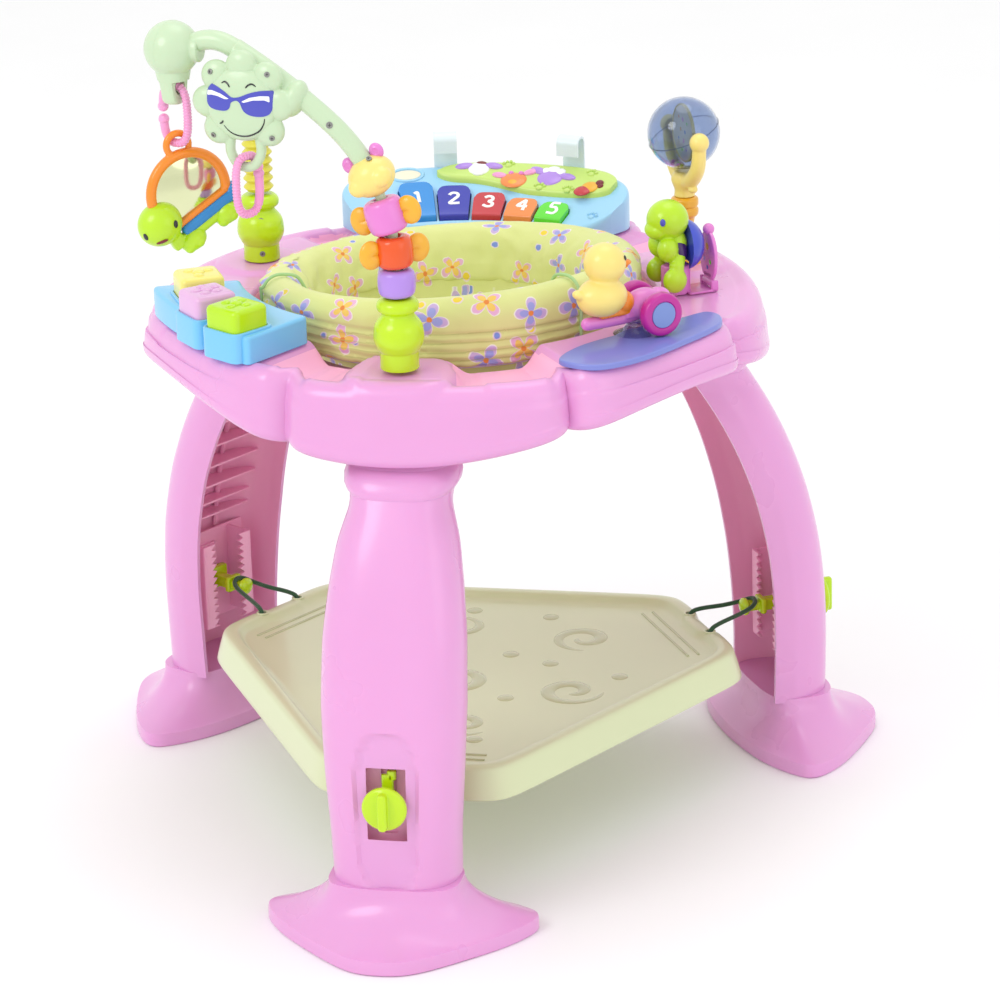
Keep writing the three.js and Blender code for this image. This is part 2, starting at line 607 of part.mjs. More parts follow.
// The turtle hangs from the lower end of the ball's link, nose down.
const TURTLE = { radius: 39, wire: 5, loopRadius: 11.5, loopWire: 3.6, hangX: 16.4, hangZ: 46, tilt: 30,
  heading: 38 };
const turtleTop = onArch(BALL.along, BALL.height - EYE.hang - 2 * LINK.halfHeight);
const turtle = station(turtleTop.x, turtleTop.y, turtleTop.z, TURTLE.heading);
const tilted = station(0, 0, 0, 0, turtle);
tilted.rotation.y = rad(-TURTLE.tilt);
// The top of the turtle's loop rests on the link's lower bend.
const loopCentre = vec(TURTLE.hangX, 0, TURTLE.hangZ).applyEuler(tilted.rotation);
const drop = TURTLE.loopRadius - TURTLE.loopWire - LINK.wire - 5 * GAP;
tilted.position.copy(loopCentre.multiplyScalar(-1)).add(vec(0, 0, -drop));
const arcPoints = (radius, x, z, from, to, count) =>
  loop(count, (i) => {
    const angle = mix(from, to, i / (count - 1));
    return vec(x + radius * cos(angle), 0, z + radius * sin(angle));
  });
// The tilted group's origin is the middle of the round arch.
const turtleArch = () => arcPoints(TURTLE.radius, 0, 0, -0.55, PI + 0.55, 25);
const turtleLoop = () => arcPoints(TURTLE.loopRadius, TURTLE.hangX, TURTLE.hangZ, -0.25 * PI, 1.25 * PI,
  13);
const shellBar = (grow) => box([64 + grow, 13 + grow, 9 + grow], [6, 0, -30]);
const mirrorPlate = (grow) => cut(
  solid(new THREE.CylinderGeometry(33 + grow, 33 + grow, 3 + 2 * grow, 32)),
  box([90, 9, 40], [0, 0, -41.3 - grow]),
);
const archBar = (grow) => bar(through(turtleArch()), () => TURTLE.wire + grow, 40, 10);
const sill = (grow) => box([68 + grow, 9 + grow, 6 + grow], [0, 0, -21.5]);
function turtleBodyShape() {
  const head = ball(21, [-41, 0, -8], [1.05, 0.9, 1], [0, 0, 0], 20);
  const foot = (x) => ball(9, [x, 0, -43], [1.2, 1, 0.9], [0, 0, 0], 12);
  const keel = box([66, 12, 6], [-6, 0, -38.2]);
  const neck = box([14, 12, 34], [-38, 0, -24]);
  const whole = join(head, keel, neck, foot(-22), foot(20));
  return cut(whole, shellBar(2 * GAP), archBar(GAP), sill(2 * GAP), mirrorPlate(GAP));
}
const hanging = join(archBar(0), sill(0), bar(through(turtleLoop()), () => TURTLE.loopWire, 20, 10));
piece("mirror_frame", cut(hanging, mirrorPlate(GAP), shellBar(2 * GAP)), plastic(0xf08c1e), tilted);
piece("mirror_plate", mirrorPlate(0), plastic(0xd8dde0, 0.05), tilted);
piece("mirror_turtle_rim", shellBar(0), plastic(0x2f86cc), tilted);
piece("mirror_turtle_body", turtleBodyShape(), plastic(LIME), tilted);

// ---------- left post: spring stem ----------
const LEFT_POST = polar(243, 156, 545);
const left = station(LEFT_POST.x, LEFT_POST.y, LEFT_POST.z);
piece("left_post", vaseShape(), plastic(LIME), left);
// The spring's underside is a cone, so that it can sway on the post.
const SPRING = { ribs: 7, pitch: 9.2, foot: 2, inner: 11.5, outer: 15.7 };
function springShape() {
  const { ribs, pitch, foot, inner, outer } = SPRING;
  const profile = loop(ribs, (i) => [[inner, foot + i * pitch + 1], [outer, foot + i * pitch + 5]]).flat();
  const top = foot + ribs * pitch;
  return lathe([[0, 0], ...profile, [inner, top + 1], [15, top + 5], [14.5, top + 14], [9, top + 21],
    [0, top + 23]], 22);
}
piece("spring_stem", springShape(), plastic(0xd9dc3c), station(0, 0, 70.5 + GAP, 0, left));

// ---------- block station ----------
const DECK = RIM_HIGH + 0.4; // where a station's base stands on the high deck
const BLOCKS = {
  block_yellow: { place: [-229, -132], turn: 27, color: 0xf2e27a },
  block_lilac: { place: [-206, -189], turn: 41, color: 0xe5b4e2 },
  block_green: { place: [-166, -231], turn: 56, color: 0xa8e020 },
};
const BLOCK = { size: 45, tall: 30, travel: 6, fit: 0.8, sunk: 6 };
const BASE_TALL = 28;
function blockBaseShape() {
  const outer = loop(13, (i) => polar(trayEdge(200 + i * 3.4) - 5, 200 + i * 3.4, 0));
  const inner = loop(9, (i) => polar(215, 240.8 - i * 5.1, 0));
  const base = plate([...outer, ...inner].map((p) => [p.x, p.y]), BASE_TALL, [0, 0, 0], [0, 0, 0], 5);
  const side = BLOCK.size + 2 * BLOCK.fit;
  const deep = BLOCK.travel + BLOCK.sunk + 1;
  const pockets = Object.values(BLOCKS).map(({ place, turn }) =>
    box([side, side, 2 * deep], [...place, BASE_TALL], [0, 0, turn]));
  return cut(base, ...pockets);
}
function blockShape() {
  const h = BLOCK.size / 2;
  const r = 9;
  const outline = loop(24, (i) => {
    const corner = Math.floor(i / 6);
    const angle = rad(corner * 90 + (i % 6) * 18);
    const [sx, sy] = [[1, 1], [-1, 1], [-1, -1], [1, -1]][corner];
    return [sx * (h - r) + r * cos(angle), sy * (h - r) + r * sin(angle)];
  });
  const stud = (x, y) => rod(6, 2.5, [x, y, BLOCK.tall + 1], [0, 0, 0], 14);
  return join(plate(outline, BLOCK.tall, [0, 0, 0], [0, 0, 0], 4), stud(9, 9), stud(-9, 9), stud(9, -9),
    stud(-9, -9));
}
piece("block_base", blockBaseShape(), plastic(0x8fd0f2), station(0, 0, DECK));
for (const [name, { place, turn, color }] of Object.entries(BLOCKS))
  piece(name, blockShape(), plastic(color), station(...place, DECK + BASE_TALL - BLOCK.sunk, turn));

// ---------- duck station ----------
const PLATE = { tall: 5.5, spin: [211, -143], pin: 4 };
const PLATE_OUTLINE = [
  [150, -229], [164, -243], [189, -248], [214, -233], [237, -206], [262, -163], [284, -121], [290, -97],
  [284, -76],
  [270, -69], [255, -83], [229, -115], [181, -165], [159, -197],
];
const duckStation = station(0, 0, DECK);
const spinner = rod(13, 12, [...PLATE.spin, PLATE.tall + 6 - 0.5], [0, 0, 0], 20, 8);
const spinPin = rod(PLATE.pin, 30, [...PLATE.spin, PLATE.tall + 15], [0, 0, 0], 16);
const leaf = plate(smoothOutline(PLATE_OUTLINE, 30), PLATE.tall, [0, 0, 0], [0, 0, 0], 1.5);
piece("duck_plate", join(leaf, spinner, spinPin), plastic(0x8f8fd0), duckStation);

const CAR = { heading: 40, axle: 15, wheel: 22, track: 24, height: 22.4 };
const car = station(...PLATE.spin, PLATE.tall, CAR.heading, duckStation);
function vehicleShape() {
  const body = ball(20, [10, 0, 27], [1.1, 0.72, 0.72], [0, 0, 0], 20);
  const nose = ball(13, [24, 0, 30], [1, 0.8, 0.7], [0, 0, 0], 16);
  const beam = rod(6.3, 60, [-24, 0, 18], [0, 90, 0], 14);
  const tip = ball(6.3, [-54, 0, 18], [1, 1, 1], [0, 0, 0], 14);
  const axle = rod(3, 2 * CAR.track + 10, [CAR.axle, 0, CAR.height], [90, 0, 0], 14);
  return cut(join(body, nose, beam, tip, axle), rod(bore(PLATE.pin), 40, [0, 0, 10.6], [0, 0, 0], 16));
}
function duckShape() {
  const body = ball(21, [-37, 0, 43], [1.22, 1, 0.93], [0, 0, 0], 22);
  const head = ball(20.5, [-33, 0, 76], [1, 1, 0.96], [0, 0, 0], 22);
  const beak = ball(6, [-13, 0, 72], [1.3, 1.1, 0.6], [0, 0, 0], 12);
  const vehicle = vehicleShape();
  const around = rod(6.3 + GAP, 62, [-24, 0, 18], [0, 90, 0], 14);
  const chassis = ball(20, [10, 0, 27], [1.13, 0.75, 0.75], [0, 0, 0], 20);
  return { vehicle, duck: cut(join(body, head, beak), around, chassis) };
}
const { vehicle, duck } = duckShape();
piece("duck_vehicle", vehicle, plastic(0xea9ad6), car);
piece("duck", duck, plastic(YELLOW), car);
function wheelShape() {
  const w = 6;
  return lathe(
    [[3.4, -w], [12, -w - 1], [15, -w + 1], [20, -w], [CAR.wheel, -2], [CAR.wheel, 2], [20, w],
    [15, w - 1], [12, w + 1],
      [3.4, w]], 28, [0, 0, 0], [90, 0, 0],
  );
}
for (const [name, side] of [["wheel_near", -1], ["wheel_far", 1]])
  piece(name, wheelShape(), plastic(0xc43aa0), station(CAR.axle, side * CAR.track, CAR.height, 0, car));

// ---------- right post: globe in a fork ----------
const RIGHT_POST = polar(256, 30, 543);
const GLOBE = { radius: 37.3, height: 138, wall: 2, disc: 30, heading: 299 };
const right = station(RIGHT_POST.x, RIGHT_POST.y, RIGHT_POST.z);
const spindleProfile = [
  [0, 0], [17, 0], [16, 8], [10, 26], [8.5, 40], [10.5, 50], [13.8, 53], [13.8, 57], [12.4, 60],
  [13.8, 63], [13.8, 68],
  [11, 71], [4, 71], [4, 82], [0, 82],
];
piece("globe_spindle", lathe(spindleProfile, 24), plastic(0xf0a030), right);
const fork = station(0, 0, 0, GLOBE.heading, right);
function forkShape() {
  const reach = GLOBE.radius + 7;
  const hole = 4 + GAP;
  const foot = 71 + GAP;
  const cupProfile = [[hole, foot], [11, foot], [10, 80], [13, 90], [9, 95], [0, 96], [0, 83], [hole, 83]];
  const cup = lathe(cupProfile, 24);
  const armPoints = [[4, 88], [22, 94], [40, 112], [reach, GLOBE.height]];
  const arm = (side) => {
    const path = through(armPoints.map(([x, z]) => vec(side * x, 0, z)));
    return join(bar(path, (t) => mix(8.5, 6, t), 12, 12), ball(9.5, [side * reach, 0, GLOBE.height]));
  };
  const clear = ball(GLOBE.radius + 1, [0, 0, GLOBE.height], [1, 1, 1], [0, 0, 0], 30);
  const pin = (side) => rod(3, 12, [side * (reach - 7), 0, GLOBE.height], [0, 90, 0], 12);
  return join(cut(join(cup, arm(1), arm(-1)), clear), pin(1), pin(-1));
}
piece("globe_fork", forkShape(), plastic(YELLOW), fork);
const globeAt = station(0, 0, GLOBE.height, 0, fork);
const globeShell = cut(
  ball(GLOBE.radius, [0, 0, 0], [1, 1, 1], [0, 0, 0], 30),
  ball(GLOBE.radius - GLOBE.wall, [0, 0, 0], [1, 1, 1], [0, 0, 0], 30),
  rod(3.6, 100, [0, 0, 0], [0, 90, 0], 12),
);
piece("globe_shell", globeShell, plastic(0xb8c4dc, 0.05), globeAt);
piece("globe_disc", rod(GLOBE.disc, 3, [0, 0, 0], [90, 0, 0], 32), plastic(0xf3ecd8), globeAt);

// ---------- sitting turtle with its page ----------
const SITTER = { place: [226, 28], deck: 541, heading: 212, axle: 27 };
const sitter = station(...SITTER.place, SITTER.deck, SITTER.heading);
const perchOutline = loop(8, (i) => [15 * cos(rad(i * 45 + 22.5)), 11 * sin(rad(i * 45 + 22.5))]);
const PAGE = { x: -37, hinge: 7, pin: 2 }; // the page's own hinge, behind the turtle
const hingeEar = (side) => box([8, 4, 11], [PAGE.x, side * 13, 5.5]);
const crossPin = (radius, length, at) => rod(radius, length, at, [90, 0, 0], 14);
const perch = join(
  plate(perchOutline, 30, [0, 0, 0], [0, 0, 0], 2),
  crossPin(3, 30, [0, 0, SITTER.axle]),
  box([32, 30, 2], [PAGE.x + 12, 0, 1]),
  hingeEar(1),
  hingeEar(-1),
  crossPin(PAGE.pin, 28, [PAGE.x, 0, PAGE.hinge]),
);
piece("turtle_perch", perch, plastic(0xe28ac8), sitter);
function sitterShape() {
  const head = ball(20.5, [6, 0, 77], [1.02, 0.95, 0.98], [0, 0, 0], 20);
  const torso = ball(17, [0, 0, 52], [0.7, 1.05, 1], [0, 0, 0], 18);
  const arm = (side) => ball(9, [11, side * 15, 52], [1, 0.8, 1.3], [0, 0, 0], 14);
  const leg = (side) => ball(10.5, [6, side * 21, 22], [1.05, 0.75, 1.25], [0, 0, 0], 14);
  const hip = (side) => rod(6, 26, [0, side * 18, 34], [side * 24, 0, 0], 12);
  const body = join(head, torso, arm(1), arm(-1), leg(1), leg(-1), hip(1), hip(-1));
  return cut(body, perchRoom, crossPin(3 + GAP, 34, [0, 0, SITTER.axle]), shellDome(GAP));
}
const perchRoom = box([36, 24, 70]);
const shellDome = (grow) => cut(
  ball(27 + grow, [-8, 0, 50], [0.85, 0.95, 1], [0, 0, 0], 22),
  box([60, 80, 90], [20.5 + grow, 0, 50]),
  perchRoom,
);
piece("turtle_sitter", sitterShape(), plastic(LIME), sitter);
piece("turtle_shell", shellDome(0), plastic(0x3a50c0), sitter);
// An oval page on a foot that turns about the hinge pin. Its lower edge is cut clear of the hinge's ears.
function pageShape() {
  const outline = loop(20, (i) => [19 * cos(rad(i * 18)), 27 * sin(rad(i * 18))]);
  const leafPage = cut(plate(outline, 4, [-2, 0, 34], [90, 0, 90], 1), box([20, 60, 26], [0, 0, 0]));
  const foot = join(crossPin(4, 21, [0, 0, PAGE.hinge]), box([4, 20, 8], [0, 0, 12]));
  return cut(join(leafPage, foot, ball(5.5, [0, 0, 62])), crossPin(PAGE.pin + GAP, 40, [0, 0, PAGE.hinge]));
}
piece("turtle_page", pageShape(), plastic(0xcf7fc4), station(PAGE.x, 0, 0, 0, sitter));

// ---------- piano ----------
const PIANO = { inner: 207, slope: 0.43, low: 556, back: 301, from: 57, to: 127 };
const pianoTop = (radius) => PIANO.low + (radius - PIANO.inner) * PIANO.slope;
// A slab on the sloping top between two angles; its inner and outer radius and its heights follow the
// angle.
function slopedSlab(from, to, steps, innerAt, outerAt, below, above, floor) {
  const bottom = (r) => floor ?? pianoTop(r) - below;
  const top = (r) => pianoTop(r) + above;
  const rings = loop(steps + 1, (i) => {
    const angle = mix(from, to, i / steps);
    const [r0, r1] = [innerAt(angle), outerAt(angle)];
    const section = [
      [r0, bottom(r0)], [r0, top(r0) - 2.5], [r0 + 3, top(r0 + 3)], [r1 - 4, top(r1 - 4)],
      [r1, top(r1 - 4) - 4],
      [r1, bottom(r1)],
    ];
    return section.map(([r, z]) => polar(r, angle, z));
  });
  return loft(rings);
}
const roundEnd = (angle, from, to, reach) => {
  const u = abs((2 * (angle - from)) / (to - from) - 1);
  return reach * (1 - sqrt(max(0, 1 - u ** 8)));
};
const pianoBody = slopedSlab(
  PIANO.from, PIANO.to, 16, (a) => PIANO.inner + roundEnd(a, PIANO.from, PIANO.to, 26),
  (a) => PIANO.back - roundEnd(a, PIANO.from, PIANO.to, 30), 0, 0, DECK,
);
const KEYS = [
  { angle: 109.5, outer: 268, color: 0x3a74d8 }, { angle: 100.3, outer: 260, color: 0x3440a8 },
  { angle: 91.1, outer: 249, color: 0xc8202c }, { angle: 81.9, outer: 242, color: 0xf07a20 },
  { angle: 72.7, outer: 240, color: 0x58d030 },
];
const KEY = { inner: 213, half: 4.1, proud: 6, sunk: 6, travel: 3.5, fit: 0.7 };
const OPEN_ABOVE = 20; // how far a pocket's cutter rises out of the body
const keySlab = ({ angle, outer }, grow, below, above) => {
  const half = KEY.half + grow * 0.24; // about 0.24 degrees a millimetre there
  return slopedSlab(angle - half, angle + half, 3, () => KEY.inner - grow, () => outer + grow, below,
    above);
};
const keyPocket = (key) => keySlab(key, KEY.fit, KEY.sunk + KEY.travel + GAP, OPEN_ABOVE);
const panelInner = (a) => mix(mix(246, 262, smooth((a - 80) / 18)), 250, smooth((76 - a) / 12)) + 7;
const panelSlab = (grow, below, above) =>
  slopedSlab(
    62 - grow * 0.22, 104 + grow * 0.22, 16, (a) => panelInner(a) + roundEnd(a, 61, 105, 18) - grow,
    (a) => 295 - roundEnd(a, 61, 105, 18) + grow, below, above,
  );
const pockets = [...KEYS.map(keyPocket), panelSlab(GAP, 3 + GAP, OPEN_ABOVE)];
piece("piano_body", cut(pianoBody, ...pockets), plastic(0x9dd6f0));
piece("piano_panel", panelSlab(0, 3, 7), plastic(0xc6e36a));
KEYS.forEach((key, i) => piece("key_" + (i + 1), keySlab(key, 0, KEY.sunk, KEY.proud), plastic(key.color)));

// Two bands that rise behind the piano and hook over its back edge, on one clamp bar.
const STRAP = { wide: 25, thick: 2.4, angles: [102, 75] };
function strapShape() {
  const out = PIANO.back + 1.8;
  const { wide, thick } = STRAP;
  const outline = [
    [out, 549], [out, 626], [out - 4, 631], [out - 12, 631], [out - 16, 626], [out - 16, 612],
    [out - 16 - thick, 612], [out - 16 - thick, 626], [out - 13, 631 + thick], [out - 2.4, 631 + thick],
    [out + thick, 626], [out + thick, 549],
  ];
  const band = (angle) => plate(outline, wide, polar(wide / 2, angle + 90, 0).toArray(), [90, 0, angle]);
  const clampBar = loop(9, (i) => polar(out + thick / 2, 72 + i * 4, 551));
  return join(...STRAP.angles.map(band), bar(through(clampBar), () => thick / 2, 16, 8));
}
piece("piano_straps", strapShape(), plastic(0xe8eef0));

// The origin goes to the centre of the footprint box.
const footprint = new THREE.Box3().setFromObject(jumper, true);
const centre = footprint.getCenter(vec());
tripod.position.set(-centre.x, -centre.y, -footprint.min.z);

export default jumper;
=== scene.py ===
"""Activity jumper: the looks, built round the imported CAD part.

Shapes are given in millimetres from the tripod's vertical axis and the floor, with the front leg
at 270 degrees.
A shape is (points, faces, slots): an (n, 3) array, a list of corner tuples, and each face's material number.
piece() turns a shape into a Blender object in metres that rides on a CAD body.
"""

import math

import bpy
import numpy as np
from mathutils import Euler, Matrix, Vector


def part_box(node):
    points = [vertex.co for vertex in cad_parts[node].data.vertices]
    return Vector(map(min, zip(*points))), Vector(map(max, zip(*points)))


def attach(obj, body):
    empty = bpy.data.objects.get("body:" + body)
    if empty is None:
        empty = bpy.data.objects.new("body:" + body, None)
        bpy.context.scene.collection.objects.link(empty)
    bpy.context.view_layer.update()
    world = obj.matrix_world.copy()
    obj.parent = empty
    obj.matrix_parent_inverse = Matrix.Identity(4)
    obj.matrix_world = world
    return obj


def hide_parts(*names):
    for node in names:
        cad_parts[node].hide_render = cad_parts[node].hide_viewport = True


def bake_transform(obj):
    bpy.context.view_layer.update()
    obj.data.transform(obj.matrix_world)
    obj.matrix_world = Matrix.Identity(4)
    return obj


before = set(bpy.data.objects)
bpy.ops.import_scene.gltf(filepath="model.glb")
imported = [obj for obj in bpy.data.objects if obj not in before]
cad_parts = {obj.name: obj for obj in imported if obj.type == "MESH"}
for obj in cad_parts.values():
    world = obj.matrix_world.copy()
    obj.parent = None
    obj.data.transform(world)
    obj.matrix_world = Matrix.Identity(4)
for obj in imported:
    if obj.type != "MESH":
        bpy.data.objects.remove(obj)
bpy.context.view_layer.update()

MM = 0.001
PI = math.pi
ring_low, ring_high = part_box("seat_ring")
AXIS = Vector(((ring_low[0] + ring_high[0]) / 2, (ring_low[1] + ring_high[1]) / 2, 0))  # the tripod's axis
LEGS = {"front": 270, "right": 30, "left": 150}


# ---------- numbers ----------
def mix(a, b, t):
    return a + (b - a) * t


def smooth(t):
    t = min(1, max(0, t))
    return t * t * (3 - 2 * t)


def polar(radius, degrees, z=0):
    return (radius * math.cos(math.radians(degrees)), radius * math.sin(math.radians(degrees)), z)


def spline(points, steps=6, closed=False):
    """Points of a smooth curve through the given ones, steps between each two."""
    p = np.array(points, float)
    n = len(p)
    spans = n if closed else n - 1
    out = []
    for i in range(spans):
        if closed:
            a, b, c, d = p[i - 1], p[i], p[(i + 1) % n], p[(i + 2) % n]
        else:
            a, b, c, d = p[max(i - 1, 0)], p[i], p[i + 1], p[min(i + 2, n - 1)]
        for k in range(steps):
            t = k / steps
            out.append(0.5 * (2 * b + (c - a) * t + (2 * a - 5 * b + 4 * c - d) * t**2
                              + (3 * b - a - 3 * c + d) * t**3))
    if not closed:
        out.append(p[-1])
    return np.array(out)


def rounded(points, radius, steps=4, closed=False):
    """A polyline with its corners rounded. A point may carry its own radius as a third number."""
    out = []
    n = len(points)
    for i, point in enumerate(points):
        own = point[2] if len(point) > 2 else radius
        here = np.array(point[:2], float)
        if (not closed and i in (0, n - 1)) or own == 0:
            out.append(here)
            continue
        before = np.array(points[i - 1][:2], float) - here
        after = np.array(points[(i + 1) % n][:2], float) - here
        reach = min(own, np.linalg.norm(before) * 0.49, np.linalg.norm(after) * 0.49)
        start = here + before / np.linalg.norm(before) * reach
        end = here + after / np.linalg.norm(after) * reach
        for k in range(steps + 1):
            t = k / steps
            out.append((1 - t) ** 2 * start + 2 * t * (1 - t) * here + t**2 * end)
    return np.array(out)


# ---------- shapes ----------
def shape_of(points, faces, slot=0):
    return np.array(points, float).reshape(-1, 3), list(faces), [slot] * len(faces)


def joined(*shapes):
    points, faces, slots = [], [], []
    start = 0
    for p, f, s in shapes:
        points.append(p)
        faces += [tuple(i + start for i in face) for face in f]
        slots += s
        start += len(p)
    return np.concatenate(points), faces, slots


def matrix(at=(0, 0, 0), turn=(0, 0, 0), scale=(1, 1, 1)):
    spin = Euler([math.radians(a) for a in turn], "XYZ").to_matrix().to_4x4()
    return Matrix.Translation(at) @ spin @ Matrix.Diagonal((*scale, 1))


def moved(shape, at=(0, 0, 0), turn=(0, 0, 0), scale=(1, 1, 1)):
    return placed(shape, matrix(at, turn, scale))


def placed(shape, place):
    m = np.array(place)
    return shape[0] @ m[:3, :3].T + m[:3, 3], shape[1], shape[2]


def painted(shape, slot):
    return shape[0], shape[1], [slot] * len(shape[1])


def skin(rings, closed=False, caps=True, round_ring=True):
    """A surface over a row of rings, each with the same number of points."""
    rings = np.array(rings, float)
    rows, count = rings.shape[:2]
    faces = []
    for row in range(rows if closed else rows - 1):
        a, b = row * count, ((row + 1) % rows) * count
        for i in range(count if round_ring else count - 1):
            j = (i + 1) % count
            faces.append((a + i, a + j, b + j, b + i))
    if caps and not closed and round_ring:
        faces.append(tuple(reversed(range(count))))
        faces.append(tuple((rows - 1) * count + i for i in range(count)))
    return shape_of(rings.reshape(-1, 3), faces)


def lathe(profile, steps=48, closed=False):
    """A profile of (radius, height) turned round Z."""
    angles = np.arange(steps) * 2 * PI / steps
    rings = [[(max(r, 0.01) * math.cos(a), max(r, 0.01) * math.sin(a), z) for a in angles]
             for r, z in profile]
    return skin(rings, closed=closed)


def vase(profile, radius=2, steps=48):
    """A lathe over a polyline whose corners are rounded."""
    return lathe(rounded(profile, radius), steps)


def blob(radius, at=(0, 0, 0), scale=(1, 1, 1), turn=(0, 0, 0), steps=32):
    half = steps // 2
    profile = [(radius * math.sin(PI * i / half), -radius * math.cos(PI * i / half)) for i in range(half + 1)]
    return moved(lathe(profile, steps), at, turn, scale)


def tube(points, radius, sides=14, closed=False, caps=True):
    """A round bar along points. radius is a number, or a function of the place from 0 to 1."""
    p = np.array(points, float)
    n = len(p)
    along = np.gradient(p, axis=0)
    if closed:
        along = np.roll(p, -1, axis=0) - np.roll(p, 1, axis=0)
    along /= np.linalg.norm(along, axis=1)[:, None]
    side = np.cross(along[0], (0.31, 0.17, 0.93))
    rings = []
    for i in range(n):
        side = side - along[i] * side.dot(along[i])
        side /= np.linalg.norm(side)
        up = np.cross(along[i], side)
        r = radius(i / (n - 1)) if callable(radius) else radius
        turns = np.arange(sides) * 2 * PI / sides
        rings.append([p[i] + r * (math.cos(a) * side + math.sin(a) * up) for a in turns])
    return skin(rings, closed=closed, caps=caps)


def inset(outline, distance):
    """A closed outline of (x, y) moved inwards along its corners' bisectors."""
    p = np.array(outline, float)
    edge = np.roll(p, -1, axis=0) - p
    normal = np.stack([-edge[:, 1], edge[:, 0]], 1)
    normal /= np.linalg.norm(normal, axis=1)[:, None] + 1e-9
    both = normal + np.roll(normal, 1, axis=0)
    both /= np.linalg.norm(both, axis=1)[:, None] + 1e-9
    turn = 1 if np.sum(p[:, 0] * np.roll(p[:, 1], -1) - p[:, 1] * np.roll(p[:, 0], -1)) > 0 else -1
    return p + both * distance * turn


def slab(outline, low, high, bevel=1.5, steps=4, under=0.4):
    """A flat outline of (x, y) raised from low to high, its edges rounded."""
    rings = []
    for k in range(2):
        outer = min(under, bevel)
        rings.append([(x, y, low + k * outer) for x, y in inset(outline, outer * (1 - k))])
    for k in range(steps + 1):
        a = k / steps * PI / 2
        ring = inset(outline, bevel * (1 - math.cos(a)))
        rings.append([(x, y, high - bevel + bevel * math.sin(a)) for x, y in ring])
    return skin(rings)


def block(size, at=(0, 0, 0), turn=(0, 0, 0), bevel=1.5, corner=3):
    x, y, z = (s / 2 for s in size)
    outline = rounded([(-x, -y), (x, -y), (x, y), (-x, y)], corner, 4, closed=True)
    return moved(slab(outline, -z, z, bevel, under=bevel), at, turn)


def as_object(shape, name="scratch"):
    mesh = bpy.data.meshes.new(name)
    mesh.from_pydata([tuple(p) for p in shape[0]], [], shape[1])
    mesh.validate()
    obj = bpy.data.objects.new(name, mesh)
    bpy.context.scene.collection.objects.link(obj)
    return obj


def with_slots(obj, slots):
    for i in range(max(slots) + 1):
        obj.data.materials.append(bpy.data.materials.get(f"slot{i}") or bpy.data.materials.new(f"slot{i}"))
    if len(slots) == len(obj.data.polygons):
        obj.data.polygons.foreach_set("material_index", slots)
    return obj


def baked(obj):
    """The shape of an object with its modifiers; the object is removed."""
    mesh = obj.evaluated_get(bpy.context.evaluated_depsgraph_get()).to_mesh()
    points = np.empty(len(mesh.vertices) * 3)
    mesh.vertices.foreach_get("co", points)
    faces = [tuple(face.vertices) for face in mesh.polygons]
    slots = [face.material_index for face in mesh.polygons]
    bpy.data.objects.remove(obj)
    return points.reshape(-1, 3), faces, slots


def fused(shape, voxel=1.2, soften=6):
    """One skin over overlapping shapes, with soft corners where they meet."""
    obj = as_object(shape)
    grid = obj.modifiers.new("grid", "REMESH")
    grid.mode = "VOXEL"
    grid.voxel_size = voxel
    relax = obj.modifiers.new("relax", "SMOOTH")
    relax.factor = 0.5
    relax.iterations = soften
    return baked(obj)


def carved(shape, *tools, operation="DIFFERENCE"):
    obj = with_slots(as_object(shape), shape[2])
    cutters = [with_slots(as_object(tool), tool[2]) for tool in tools]
    for cutter in cutters:
        step = obj.modifiers.new("cut", "BOOLEAN")
        step.operation = operation
        step.solver = "EXACT"
        step.object = cutter
    made = baked(obj)
    for cutter in cutters:
        bpy.data.objects.remove(cutter)
    return made


# ---------- pieces ----------
def piece(name, shape, materials, body, replaces=(), sharp=38):
    """A Blender object made from a shape. It rides on its body, or on none."""
    obj = as_object(shape, name)
    obj.data.transform(Matrix.Translation(AXIS) @ Matrix.Scale(MM, 4))
    materials = materials if isinstance(materials, (list, tuple)) else [materials]
    for material in materials:
        obj.data.materials.append(material)
    if len(materials) > 1 and len(shape[2]) == len(obj.data.polygons):
        obj.data.polygons.foreach_set("material_index", shape[2])
    obj.data.shade_smooth()
    obj.data.set_sharp_from_angle(angle=math.radians(sharp))
    if body:
        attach(obj, body)
    if replaces:
        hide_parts(*([replaces] if isinstance(replaces, str) else replaces))
    return obj


# ---------- materials ----------
class Nodes:
    """A material's node tree, with the shader made and a short way to add and wire nodes."""

    def __init__(self, name):
        self.material = bpy.data.materials.new(name)
        self.material.use_nodes = True
        self.tree = self.material.node_tree
        self.shader = self.tree.nodes["Principled BSDF"]

    def add(self, kind, inputs=None, **settings):
        node = self.tree.nodes.new("ShaderNode" + kind)
        for key, value in settings.items():
            setattr(node, key, value)
        for key, value in (inputs or {}).items():
            self.set(node.inputs[key], value)
        return node

    def set(self, socket, value):
        if isinstance(value, bpy.types.NodeSocket):
            self.tree.links.new(value, socket)
        else:
            socket.default_value = value

    def math(self, operation, a, b=0.0, c=0.0):
        node = self.add("Math", operation=operation)
        for socket, value in zip(node.inputs, (a, b, c)):
            self.set(socket, value)
        return node.outputs[0]

    def blend(self, share, a, b):
        node = self.add("Mix", {"Factor": share}, data_type="RGBA")
        self.set(node.inputs["A"], a)
        self.set(node.inputs["B"], b)
        return node.outputs["Result"]

    def ramp(self, value, low, high):
        """0 below low, 1 above high."""
        node = self.add("MapRange", {"Value": value, "From Min": low, "From Max": high},
                        interpolation_type="SMOOTHSTEP")
        return node.outputs["Result"]

    def noise(self, scale, detail=3.0, where=None):
        place = where or self.add("TexCoord").outputs["Object"]
        return self.add("TexNoise", {"Vector": place, "Scale": scale, "Detail": detail}).outputs["Fac"]

    def bump(self, height, strength=0.2, distance=0.0003):
        node = self.add("Bump", {"Height": height, "Strength": strength, "Distance": distance})
        self.set(self.shader.inputs["Normal"], node.outputs["Normal"])


